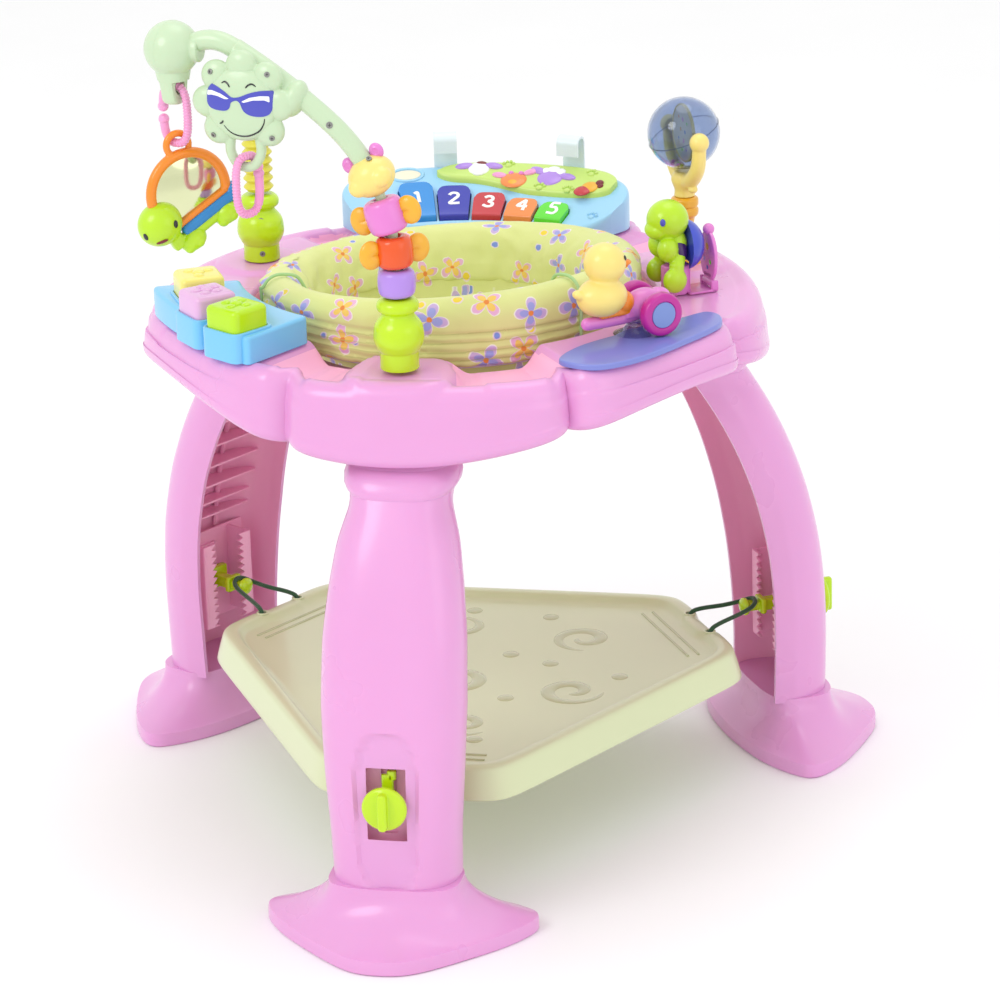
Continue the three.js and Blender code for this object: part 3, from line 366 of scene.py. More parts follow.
def tone(red, green, blue):
    """A shader colour from one on the 0 to 255 scale."""
    return tuple(((c / 255 + 0.055) / 1.055) ** 2.4 for c in (red, green, blue))


def rgba(color, gain=1.0):
    return tuple(min(1, c * gain) for c in color) + (1.0,)


def plastic(name, color, rough=0.3, coat=0.35, mottle=0.035, peel=0.06, soft=0.0):
    """Moulded plastic: faint flow marks in colour, uneven gloss from handling, and orange-peel."""
    n = Nodes(name)
    flow = n.noise(7, 4)
    tint = n.blend(flow, rgba(color, 1 - mottle), rgba(color, 1 + mottle))
    rubbed = n.ramp(n.noise(16, 3), 0.4, 0.9)
    n.set(n.shader.inputs["Base Color"], tint)
    gloss = n.math("MULTIPLY_ADD", n.noise(9, 3), 0.06, rough - 0.03)
    n.set(n.shader.inputs["Roughness"], n.math("MULTIPLY_ADD", rubbed, 0.04, gloss))
    n.bump(n.noise(300, 1), peel, 0.0001)
    n.set(n.shader.inputs["Coat Weight"], coat)
    n.set(n.shader.inputs["Coat Roughness"], 0.12)
    n.set(n.shader.inputs["IOR"], 1.5)
    if soft:
        n.set(n.shader.inputs["Subsurface Weight"], soft)
        n.set(n.shader.inputs["Subsurface Radius"], (0.9, 0.5, 0.45))
        n.set(n.shader.inputs["Subsurface Scale"], 0.004)
    return n.material


# ---------- camera, light and floor ----------
def camera():
    """Looks from 11.7 degrees right of the front leg and 20.1 degrees up, with a slight roll."""
    azimuth, elevation, roll = math.radians(11.7), math.radians(20.1), math.radians(-2.0)
    back = Vector(
        (math.sin(azimuth) * math.cos(elevation), -math.cos(azimuth) * math.cos(elevation),
         math.sin(elevation))
    )
    right = Vector((math.cos(azimuth), math.sin(azimuth), 0))
    up = back.cross(right)
    turned = right * math.cos(roll) + up * math.sin(roll)
    up = back.cross(turned)
    data = bpy.data.cameras.new("camera")
    data.lens = 150.4
    data.sensor_width = 36
    data.shift_x = 0.0407
    data.shift_y = 0.009
    obj = bpy.data.objects.new("camera", data)
    place = Matrix((turned, up, back)).transposed().to_4x4()
    place.translation = AXIS + Vector((0, 0, 0.309)) + back * 4.33
    obj.matrix_world = place
    bpy.context.scene.collection.objects.link(obj)
    bpy.context.scene.camera = obj


def soft_light(name, at, size, power):
    data = bpy.data.lights.new(name, "AREA")
    data.shape = "DISK"
    data.size = size
    data.energy = power
    obj = bpy.data.objects.new(name, data)
    obj.location = at
    obj.rotation_euler = (Vector((0, 0, 0.45)) - Vector(at)).to_track_quat("-Z", "Y").to_euler()
    bpy.context.scene.collection.objects.link(obj)


def studio():
    scene = bpy.context.scene
    scene.view_settings.view_transform = "Standard"
    world = bpy.data.worlds.new("studio")
    world.use_nodes = True
    world.node_tree.nodes["Background"].inputs["Color"].default_value = (1, 1, 1, 1)
    world.node_tree.nodes["Background"].inputs["Strength"].default_value = 1.0
    scene.world = world
    soft_light("key", (-1.6, -2.2, 2.6), 1.6, 25)
    soft_light("fill", (2.4, -1.6, 1.5), 1.8, 5)
    soft_light("top", (0.2, 0.6, 3.0), 1.6, 9)
    floor = as_object(shape_of([(-9, -9, 0), (9, -9, 0), (9, 9, 0), (-9, 9, 0)], [(0, 1, 2, 3)]), "floor")
    n = Nodes("floor_pale")
    n.set(n.shader.inputs["Base Color"], n.blend(n.noise(3, 2), (0.93, 0.93, 0.93, 1), (0.97, 0.97, 0.97, 1)))
    n.set(n.shader.inputs["Roughness"], 0.7)
    floor.data.materials.append(n.material)


camera()
studio()

PINK = plastic("pink_shell", tone(228, 160, 214), rough=0.28, soft=0.15)
# The hollows' pink is painted lighter than the shell: painted light standing in for the light that reaches
# inside the legs and the tray.
PINK_PAINTED_LIGHT = plastic("pink_inside_painted_light", tone(255, 184, 220), rough=0.42, coat=0.1)
LIME = plastic("lime_gloss", tone(192, 228, 8), rough=0.24)
MINT = plastic("mint_satin", tone(196, 218, 182), rough=0.32, soft=0.1)
CREAM = plastic("pad_cream", tone(214, 222, 178), rough=0.3, peel=0.15)
CREAM_DEEP = plastic("pad_emboss", tone(194, 200, 156), rough=0.2, peel=0.1)

# ---------- legs ----------
LEG_LOW, LEG_TOP, LEG_DEEP, LEG_WALL = 57.5, 476, 71, 4
LEG_WIDTHS = [
    (55, 63), (110, 64.5), (170, 68.5), (235, 71.5), (300, 70.5), (345, 66), (385, 60), (410, 52), (422, 48),
    (438, 53), (480, 53),
]
RECESS = {"z": 140, "half_wide": 31.5, "half_high": 82, "deep": 3.5}
SLOT = {"wide": 39, "middle": 150, "high": 74}


def leg_inner(z):
    u = z / 400
    return 325.2 + 24.5 * u - 17.1 * u**2 - 71 * u**3


def leg_width(z):
    return float(np.interp(z, [p[0] for p in LEG_WIDTHS], [p[1] for p in LEG_WIDTHS]))


def smooth_width(z):
    return sum(leg_width(z + d) for d in (-9, -4.5, 0, 4.5, 9)) / 5


def in_recess(x, z):
    """1 inside the oval recess of the leg's outer face, 0 outside, with a soft edge."""
    far = (abs(x) / RECESS["half_wide"]) ** 3 + (abs(z - RECESS["z"]) / RECESS["half_high"]) ** 3
    return smooth((1.06 - far) / 0.13)


def leg_half(z, inward, count, dent):
    inner = leg_inner(z)
    across = smooth_width(z) - inward
    deep = LEG_DEEP - 18 - inward
    row = [(across - 5, inner)]
    for i in range(count):
        a = i / (count - 1) * PI / 2
        x = across * max(math.cos(a), 0) ** 0.62
        r = inner + 18 + deep * math.sin(a) ** 0.8
        row.append((x, r - dent * RECESS["deep"] * in_recess(x, z)))
    return row


def leg_shell():
    heights = np.linspace(LEG_LOW, LEG_TOP, 150)
    outside, inside = [], []
    for z in heights:
        for rows, inward, dent in ((outside, 0, 1), (inside, LEG_WALL, 0)):
            half = leg_half(z, inward, 26, dent)
            row = half + [(-x, r) for x, r in half[:-1][::-1]]
            rows.append([(x, -r, z) for x, r in row])
    rings = [o + i[::-1] for o, i in zip(outside, inside)]
    points, faces, _ = skin(rings)
    outer = len(outside[0])
    per = len(rings[0])
    # Slot 1, the inner faces, takes the lighter inside pink: painted light in the hollow leg.
    slots = [1 if outer <= f[0] % per < per - 1 and len(f) == 4 else 0 for f in faces]
    return points, faces, slots


def leg_fill(z_low, z_high, r_low, r_high, half_wide):
    """A plate across the leg's hollow."""
    size = (2 * half_wide, r_high - r_low, z_high - z_low)
    return block(size, (0, -(r_low + r_high) / 2, (z_low + z_high) / 2), bevel=0.5, corner=1)


def leg_inside():
    """Cross ribs, two long ribs, the plate behind the slot and the toothed racks."""
    parts = []
    for z in (222, 238, 262, 286, 312, 340, 372):
        inner = leg_inner(z)
        wide = smooth_width(z) - LEG_WALL - 0.5
        deep = 20 if z < 240 else 26
        rib = block((2 * wide - 10, deep, 2.4), (0, -(inner + LEG_DEEP - LEG_WALL - 2 - deep / 2), z),
                    bevel=0.5)
        parts.append(rib)
    for side in (-1, 1):
        spine = [(side * 27, -(leg_inner(z) + LEG_DEEP - 9), z) for z in np.linspace(200, 400, 18)]
        parts.append(tube(spine, 3, 8))
    face = leg_inner(SLOT["middle"]) + LEG_DEEP
    parts.append(leg_fill(98, 202, face - 23.5, face - 20.5, leg_width(150) - 9))
    for side in (-1, 1):
        rack = [(side * 17, 104)]
        for k in range(12):
            rack += [(side * 25, 106 + 8 * k), (side * 18, 112 + 8 * k)]
        rack += [(side * 34, 200), (side * 34, 104)]
        plate = slab(rack, 0, 4, 0.4, 1)
        parts.append(moved(plate, (0, -(leg_inner(150) + 14), 0), (90, 0, 0)))
        parts.append(block((4, 40, 96), (side * 35, -(leg_inner(150) + 34), 152), bevel=0.6))
    return parts


def leg_core():
    """The space inside the leg's outer face, which trims the ribs."""
    rings = []
    for z in np.linspace(LEG_LOW + 1, LEG_TOP - 1, 48):
        half = leg_half(z, 1.5, 20, 1)
        rings.append([(x, -r, z) for x, r in half + [(-x, r) for x, r in half[:-1][::-1]]])
    return skin(rings)


def leg():
    shell = leg_shell()
    face = leg_inner(SLOT["middle"]) + LEG_DEEP
    window = block((SLOT["wide"], 30, SLOT["high"]), (0, -face, SLOT["middle"]), bevel=0.8, corner=2)
    shell = carved(shell, painted(window, 1))
    guide = block((15, 12, SLOT["high"]), (0, -(face - 22), SLOT["middle"]))
    core = leg_core()
    ribs = [carved(part, core, operation="INTERSECT") for part in leg_inside()]
    # The ribs take the lighter inside pink too: painted light inside the leg.
    ribs = joined(*[painted(rib, 1) for rib in ribs if rib[1]])
    return joined(shell, carved(ribs, painted(guide, 1)))


def collar():
    """The rolled ring round the leg's neck, under the tray."""
    rings = []
    for z, grow in ((430, -1), (434, 2.5), (439, 4.5), (446, 4.5), (452, 2.5), (456, 0)):
        half = leg_half(z, -grow, 22, 0)[1:]
        rings.append([(x, -r, z) for x, r in half + [(-x, r) for x, r in half[:-1][::-1]]])
    return skin(rings, round_ring=False, caps=False)


FOOT_OUTLINE = [(0, -298), (68, -304), (118, -322), (136, -342), (118, -378), (78, -420),
                (34, -456), (0, -464)]
FOOT = {"high": 62, "lip": 15}


def foot():
    """A spreading foot: a low upright edge, then a hollow slope up to the leg."""
    mirrored = [(-x, y) for x, y in FOOT_OUTLINE[1:-1][::-1]]
    base = spline(FOOT_OUTLINE + mirrored, 8, closed=True)
    centre = -leg_inner(58) - LEG_DEEP / 2
    rings = []
    rings_at = [(2.0, 0.0, 0), (0, 0.0, 1.5), (0, 0.0, FOOT["lip"] - 3), (1.0, 0.0, FOOT["lip"])]
    for i in range(1, 15):
        t = i / 14
        rings_at.append((1.0 + 4 * t * (1 - t), smooth(t) ** 0.85,
                         FOOT["lip"] + (FOOT["high"] - FOOT["lip"]) * t**1.7))
    for inward, share, z in rings_at:
        ring = []
        for x, y in base:
            angle = math.atan2(y - centre, x)
            reach = (abs(math.cos(angle) / 65.5) ** 3.4 + abs(math.sin(angle) / 38) ** 3.4) ** (-1 / 3.4)
            far = math.hypot(x, y - centre) - inward
            radius = mix(far, reach, share)
            ring.append((radius * math.cos(angle), centre + radius * math.sin(angle), z))
        rings.append(ring)
    return skin(rings)


LEG_SHAPE, COLLAR, FOOT_SHAPE = leg(), collar(), foot()
for side, angle in LEGS.items():
    turn = (0, 0, angle - 270)
    piece("leg_shell_" + side, moved(LEG_SHAPE, turn=turn), [PINK, PINK_PAINTED_LIGHT], "stand",
          "leg_" + side)
    piece("leg_collar_" + side, moved(COLLAR, turn=turn), PINK, "stand")
    piece("foot_shell_" + side, moved(FOOT_SHAPE, turn=turn), PINK, "stand", "foot_" + side)

# ---------- tray ----------
RIM_HIGH, RIM_LOW, FOLD_RADIUS = 547, 540, 291
LOBES = [(248.5, 303, 10, RIM_LOW), (303, 312, 8, RIM_HIGH), (346, 313, 6, RIM_LOW), (417, 309, 6, RIM_HIGH),
         (483, 306, 6, RIM_LOW), (554, 302, 14, RIM_HIGH)]
WELLS = [(239, 261), (279, 306), (44, 56), (122, 137)]
# Radius, angle, reach, height of a raised round.
BOSSES = [(257, 270, 60, 6), (243, 156, 52, 4), (256, 30, 48, 4)]


def lobe_at(angle):
    turned = (angle - LOBES[0][0]) % 360 + LOBES[0][0]
    index = max(i for i, lobe in enumerate(LOBES) if lobe[0] <= turned)
    end = LOBES[index + 1][0] if index + 1 < len(LOBES) else LOBES[0][0] + 360
    return index, turned, end


def tray_edge(angle):
    index, turned, end = lobe_at(angle)
    start, radius, corner, _ = LOBES[index]
    u = abs(2 * (turned - start) / (end - start) - 1)
    return mix(radius + corner * u**2, FOLD_RADIUS, u**9)


def rim_height(angle):
    index, turned, end = lobe_at(angle)
    rim = LOBES[index][3]
    before, after = LOBES[index - 1][3], LOBES[(index + 1) % len(LOBES)][3]
    rising = smooth(0.5 + (turned - LOBES[index][0]) / 5)
    falling = smooth(0.5 + (end - turned) / 5)
    return rim + (before - rim) * (1 - rising) + (after - rim) * (1 - falling)


def hem_height(angle):
    return 483 - 21 * math.cos(math.radians(3 * (angle - 270)))


def well_share(angle):
    shares = []
    for start, end in WELLS:
        into = (angle - start + 180) % 360 - 180
        left = (end - angle + 180) % 360 - 180
        shares.append(smooth(into / 7) * smooth(left / 7))
    return max(shares)


def boss_height(x, y):
    total = 0
    for radius, angle, reach, high in BOSSES:
        bx, by, _ = polar(radius, angle)
        total += high * smooth((reach - math.hypot(x - bx, y - by)) / 9)
    return total


def tray():
    rings = []
    for i in range(480):
        angle = i * 0.75
        edge, rim, hem = tray_edge(angle), rim_height(angle), hem_height(angle)
        deck = mix(rim, 526, well_share(angle))
        crease = 2.2 * math.exp(-(((FOLD_RADIUS + 14 - edge) / 7) ** 2)) if edge < FOLD_RADIUS + 14 else 0
        keys = [
            (163, 496), (162, 508), (180, 508), (201, 508), (205, mix(508, deck, 0.7)),
            (209, deck - 1), (214, deck),
            (mix(214, edge - 28, 0.33), deck), (mix(214, edge - 28, 0.66), deck), (edge - 28, deck),
            (edge - 23, mix(deck, rim - 0.5, 0.75)), (edge - 19, rim), (edge - 12, rim + 0.5),
            (edge - 5, rim - 2.5),
            (edge, rim - 9), (edge + 2.5, rim - 18), (edge + 5, mix(rim, hem, 0.4)),
            (edge + 7, mix(rim, hem, 0.7)),
            (edge + 8, hem + 14), (edge + 7.5, hem + 7), (edge + 4, hem + 1.5), (edge - 1, hem),
            (edge - 3, hem + 5),
            (edge + 2, hem + 20), (edge - 2, rim - 22), (edge - 12, rim - 6),
            (edge - 28, mix(deck, rim, 0.5) - 5),
            (230, deck - 5), (212, deck - 8), (207, 503), (185, 503), (168, 502), (165, 497),
        ]
        row = spline(keys, 3, closed=True)
        ring = []
        for r, z in row:
            x, y, _ = polar(r, angle)
            on_top = smooth((z - (rim - 30)) / 20) * smooth((r - 208) / 8)
            ring.append((x, y, z + on_top * (boss_height(x, y) - crease)))
        rings.append(ring)
    return skin(rings, closed=True)


def tray_slots(shape):
    """The wells' walls and the underside take the inside pink, painted lighter than the shell as painted
    light that reaches into them.
    """
    points, faces, _ = shape
    slots = []
    for face in faces:
        x, y, z = points[list(face)].mean(axis=0)
        radius, angle = math.hypot(x, y), math.degrees(math.atan2(y, x))
        inside = radius < tray_edge(angle) - 20 and z < rim_height(angle) - 5
        slots.append(1 if inside else 0)
    return points, faces, slots


piece("tray_shell", tray_slots(tray()), [PINK, PINK_PAINTED_LIGHT], "stand", "tray", sharp=50)


# ---------- height adjusters and elastic cords ----------
HOOK = 322  # distance of the hook's neck from the axis
FACE = leg_inner(SLOT["middle"]) + LEG_DEEP


def carriage():
    neck = block((11, FACE - 8 - 334, 13), (0, -(FACE - 8 + 334) / 2, 150), bevel=1.2)
    heel = block((36, 9, 24), (0, -(FACE - 33), 150), bevel=1.5)
    tongue = block((13, 16, 9), (0, -(HOOK + 6), 150), bevel=1.5)
    cap = blob(9.5, (0, -(HOOK - 4), 150), (1.1, 0.55, 1))
    cheek = block((20, 7, 17), (0, -337, 150), bevel=1.5)
    lug = block((9, 8, 10), (4, -(FACE - 15.5), 177), bevel=1.2)
    stem = block((12, 5, 28), (0, -(FACE - 14), 164), bevel=0.8)
    return joined(neck, heel, tongue, cap, cheek, lug, stem)


def knob():
    dial = vase([(0, 0), (8.5, 0), (8.5, 7.8), (22, 7.8), (22.4, 13), (20, 15.5), (12, 17), (0, 17.6)],
                1.6, 64)
    grip = block((9, 38, 13), (0, 0, 19), bevel=2.5, corner=4)
    dial = fused(joined(dial, grip), 0.8, 3)
    return moved(dial, (0, -(FACE - 5.7), SLOT["middle"]), (90, 0, 0))


def cord_path():
    right = [(28, -266, 126), (28, -267, 140), (25, -277, 145), (17.5, -300, 148), (12.6, -318, 151.5),
             (8, -326.5, 155)]
    left = [(-x, y, z) for x, y, z in right[::-1]]
    return spline(right + [(0, -329, 157.4)] + left, 3)


def cord_cloth(name):
    """Braided cover: two families of strands wound round the core."""
    n = Nodes(name)
    where = n.add("TexCoord").outputs["Object"]
    strand = n.add("TexWave", {"Vector": where, "Scale": 260, "Distortion": 3, "Detail": 2},
                   bands_direction="DIAGONAL")
    shade = n.blend(strand.outputs["Fac"], (0.006, 0.035, 0.012, 1), (0.03, 0.13, 0.045, 1))
    n.set(n.shader.inputs["Base Color"], shade)
    n.set(n.shader.inputs["Roughness"], 0.75)
    n.set(n.shader.inputs["Sheen Weight"], 0.4)
    n.bump(strand.outputs["Fac"], 0.5, 0.0004)
    return n.material


CORD_CLOTH = cord_cloth("cord_braid")
SHIELD = block((24, 2.4, 76), (0, -(FACE - 26), 150), bevel=0.6, corner=1)  # closes the guide behind the knob
for side, angle in LEGS.items():
    turn = (0, 0, angle - 270)
    body = "carriage_" + side
    # The shield takes the lighter inside pink: painted light behind the slot in the leg.
    piece("guide_shield_" + side, moved(SHIELD, turn=turn), PINK_PAINTED_LIGHT, body)
    piece("carriage_hook_" + side, moved(carriage(), turn=turn), LIME, body, "hook_" + side)
    piece("dial_" + side, moved(knob(), turn=turn), LIME, "knob_" + side, "knob_" + side)
    path = cord_path()
    elastic = moved(tube(path, 2.4, 10), turn=turn)
    elastic = piece("elastic_" + side, elastic, CORD_CLOTH, None, "cord_" + side)
    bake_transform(elastic)

# ---------- bounce pad ----------
PAD = {"side": 222, "corner": 284, "top": 140, "floor": 132}


def pad_edge(angle, inward):
    """Distance of the edge: three long sides, three blunt corners with a shallow dip in the middle."""
    side = sum((max(0, math.cos(math.radians(angle - a))) / (PAD["side"] - inward)) ** 26
               for a in (90, 210, 330))
    corner = sum((max(0, math.cos(math.radians(angle - a))) / (PAD["corner"] - inward)) ** 26
                 for a in (30, 150, 270))
    edge = (side + corner) ** (-1 / 26)
    off = min(abs((angle - a + 180) % 360 - 180) for a in (30, 150, 270))
    return edge - 5 * smooth((7.5 - off) / 4)


def pad_shell():
    profile = [(60, 132), (34, 132), (28, 132.6), (24.5, 136), (22.5, 139), (19, 140), (12, 139.6),
               (8, 137), (6, 131),
               (3, 120), (0.4, 108.5), (1.5, 107.6), (3.2, 108.5), (6, 119), (9, 128), (14, 133),
               (24, 130), (60, 128)]
    angles = np.arange(0, 360, 1.0)
    rings = [[polar(pad_edge(a, inward), a, z) for a in angles] for inward, z in spline(profile, 2)]
    return skin(rings)


def swirl(x, y, turn, size=1.0, loops=1.35):
    """A raised spiral on the pad's floor, seen from above."""
    points = []
    for i in range(40):
        t = i / 39
        a = turn + t * loops * 2 * PI
        r = size * (6 + 26 * t)
        points.append((x + r * math.cos(a), y + r * math.sin(a), 131.2))
    band = tube(points, lambda t: size * (1.2 + 6.2 * math.sin(PI * min(t * 1.02, 1)) ** 0.7), 12)
    return moved(band, (0, 0, 131.6 * (1 - 0.24)), scale=(1, 1, 0.24))


def pad_marks():
    """Embossed swirls and dots, and two light ridges along each blunt corner."""
    marks = []
    for x, y, turn, size in ((-28, 112, 0.4, 0.9), (112, 92, 3.0, 1.05), (122, -52, 4.4, 1.1),
                             (-2, -40, 1.5, 1.15),
                             (-122, 20, 2.2, 1.0), (-60, 60, 5.0, 0.9), (28, -150, 3.8, 0.95),
                             (-72, -64, 0.2, 1.05)):
        marks.append(swirl(x, y, turn, size))
    for x, y in ((42, 40), (166, -8), (58, -78), (46, -188), (-30, 10), (-150, 66), (-20, 160),
                 (66, 150), (-32, -118),
                 (-96, -20), (88, 20), (10, -100)):
        marks.append(blob(9, (x, y, 131.8), (1, 1, 0.17), steps=20))
    for corner in (30, 150, 270):
        for far in (226, 238):
            ridge = [(s, -far, 131.8) for s in np.linspace(-66, 66, 16)]
            marks.append(moved(tube(ridge, 1.6, 8), turn=(0, 0, corner - 270)))
    return joined(*marks)


PAD_HOLES = [moved(vase([(0, -30), (4.6, -30), (4.6, 30), (0, 30)], 0, 24), (s * 28, -266, 135), (0, 0, 0))
             for s in (-1, 1)]
holes = [moved(hole, turn=(0, 0, angle - 270)) for angle in LEGS.values() for hole in PAD_HOLES]
piece("pad_shell", carved(pad_shell(), *holes), CREAM, "pad", "bounce_pad", sharp=60)
piece("pad_marks", pad_marks(), CREAM_DEEP, "pad", sharp=60)
for angle in LEGS.values():
    for s in (-1, 1):
        grommet = lathe(rounded([(4.3, 138.8), (6.6, 138.8), (6.6, 141), (4.3, 141)], 0.8, 4, closed=True),
                        24, closed=True)
        grommet = moved(moved(grommet, (s * 28, -266, 0)), turn=(0, 0, angle - 270))
        piece(f"grommet_{angle}_{s + 1}", grommet, CREAM, "pad")

# ---------- seat ----------
SEAM_ANGLES = (203, 322)  # the piped seams at the ends of the front panel
TUCKS = (533, 542, 551, 560)  # heights of the stitched tucks in the outer band


def seat_top(angle):
    """The rim stands highest at the front right and lowest at the back left."""
    a = math.radians(angle)
    return 581 - 12.5 * math.sin(a) + 9.5 * math.cos(a)


def seat_profile(angle, thick=0.0):
    """The outer face, over the top and down the inner face, then back up inside the padding."""
    top = seat_top(angle)
    t = thick
    return [
        (188 - t, 524), (192 - t, 527), (193 - t, 538), (192.5 - t, 547), (193 - t, 556),
        (193.5 - t, mix(562, top, 0.4)),
        (191 - t, top - 11), (184 - t / 2, top - 3 - t / 2), (173, top - t), (161 + t / 2, top - 4 - t / 2),
        (152.5 + t, top - 15), (148 + t, top - 34), (145 + t, 530), (143 + t, 510),
    ]


def seat_roll():
    """The padded rim as a closed tube of cloth, before it is puffed up."""
    rings = []
    for angle in np.arange(0, 360, 2.5):
        outer = seat_profile(angle)
        inner = seat_profile(angle, 9)[::-1]
        rings.append([polar(r, angle, z) for r, z in outer + inner])
    return skin(rings, closed=True)


def print_line(angle=270):
    return spline(seat_profile(angle), 10)


def puffed(shape, held, cap=7.0, pressure=3.2):
    """The shape after a short cloth simulation under pressure.

    held(points) gives how firmly each point is pinned.
    """
    obj = as_object(shape)
    obj.data.transform(Matrix.Scale(MM, 4))
    grid = obj.modifiers.new("grid", "REMESH")
    grid.mode = "VOXEL"
    grid.voxel_size = 0.0052
    points, faces, slots = baked(obj)
    obj = as_object((points, faces, slots))
    pins = obj.vertex_groups.new(name="pins")
    for index, weight in enumerate(held(points / MM)):
        if weight > 0.02:
            pins.add([index], float(weight), "REPLACE")
    sim = obj.modifiers.new("cloth", "CLOTH")
    sim.settings.quality = 4
    sim.settings.mass = 0.15
    sim.settings.tension_stiffness = 12
    sim.settings.compression_stiffness = 12
    sim.settings.bending_stiffness = 0.08
    sim.settings.use_pressure = True
    sim.settings.uniform_pressure_force = pressure
    sim.settings.vertex_group_mass = "pins"
    sim.settings.effector_weights.gravity = 0
    sim.collision_settings.use_collision = False
    scene = bpy.context.scene
    for number in range(1, 19):
        scene.frame_set(number)
    swollen, faces, slots = baked(obj)
    scene.frame_set(1)
    move = swollen - points
    far = np.linalg.norm(move, axis=1)[:, None]
    move *= np.minimum(1, cap * MM / np.maximum(far, 1e-9))
    return (points + move) / MM, faces, slots


def seat_held(points):
    """Pins the tucks, the hem, the two seams and the inner edge that joins the sling."""
    angle = np.degrees(np.arctan2(points[:, 1], points[:, 0]))
    radius = np.hypot(points[:, 0], points[:, 1])
    outer = radius > 172
    weight = np.zeros(len(points))
    for height in TUCKS:
        wavy = height + 1.5 * np.sin(np.radians(angle * 3 + height * 40))
        weight = np.maximum(weight, np.where(outer, np.exp(-(((points[:, 2] - wavy) / 2.6) ** 2)), 0))
    weight = np.maximum(weight, np.where(points[:, 2] < 529, 1.0, 0))
    weight = np.maximum(weight, np.where((~outer) & (points[:, 2] < 520), 1.0, 0))
    for seam in SEAM_ANGLES:
        off = np.abs((angle - seam + 180) % 360 - 180) * 3.3
        weight = np.maximum(weight, np.where(points[:, 2] > 520, np.exp(-((off / 4) ** 2)), 0))
    inside = np.abs(radius - np.where(outer, 182, 160)) < 4
    return np.clip(np.where(inside & (points[:, 2] < 560), 1, weight), 0, 1)


def gathered(points):
    """Soft gathers and creases in the cloth, pressed in along its own surface."""
    angle = np.degrees(np.arctan2(points[:, 1], points[:, 0]))
    radius = np.hypot(points[:, 0], points[:, 1])
    out = points[:, :2] / radius[:, None]
    side = np.where(radius > 168, 1, -1)
    low = np.clip((572 - points[:, 2]) / 40, 0, 1)
    ripple = np.sin(np.radians(angle * 47 + 60 * np.sin(np.radians(angle * 5)))) * 0.5
    ripple += np.sin(np.radians(angle * 29 + points[:, 2] * 5)) * 0.6
    slack = np.exp(-((((angle - 186 + 180) % 360 - 180) / 24) ** 2))
    slack = slack * np.sin((points[:, 2] + angle * 1.4) / 5.2) * 2.2
    push = (ripple * (0.35 + 0.75 * low) + slack) * side
    for height in TUCKS:
        fold = points[:, 2] - height - 1.5 * np.sin(np.radians(angle * 3 + height * 40))
        push -= np.where(side > 0, 2.6 * np.exp(-((fold / 1.9) ** 2)), 0)
    points[:, :2] += out * push[:, None]
    return points


def store_print(obj, line):
    """Keeps where each point lies on the printed cloth, in metres: round the seat, and along the profile."""
    count = len(obj.data.vertices)
    points = np.empty(count * 3)
    obj.data.vertices.foreach_get("co", points)
    points = (points.reshape(-1, 3) - np.array(AXIS)) / MM
    angle = np.degrees(np.arctan2(points[:, 1], points[:, 0]))
    radius = np.hypot(points[:, 0], points[:, 1])
    steps = np.concatenate([[0], np.cumsum(np.linalg.norm(np.diff(line, axis=0), axis=1))])
    tops = np.array([seat_top(a) for a in angle]) - seat_top(270)
    lift = np.clip((points[:, 2] - 525) / 60, 0, 1) * tops
    flat = np.stack([radius, points[:, 2] - lift], 1)
    along = np.empty(count)
    for start in range(0, count, 4000):
        far = np.linalg.norm(flat[start:start + 4000, None, :] - line[None], axis=2)
        along[start:start + 4000] = steps[far.argmin(axis=1)]
    layer = obj.data.attributes.new("print", "FLOAT_VECTOR", "POINT")
    where = np.stack([((angle - 195) % 360) * 3.1, along, np.zeros(count)], 1) * MM
    layer.data.foreach_set("vector", where.ravel())


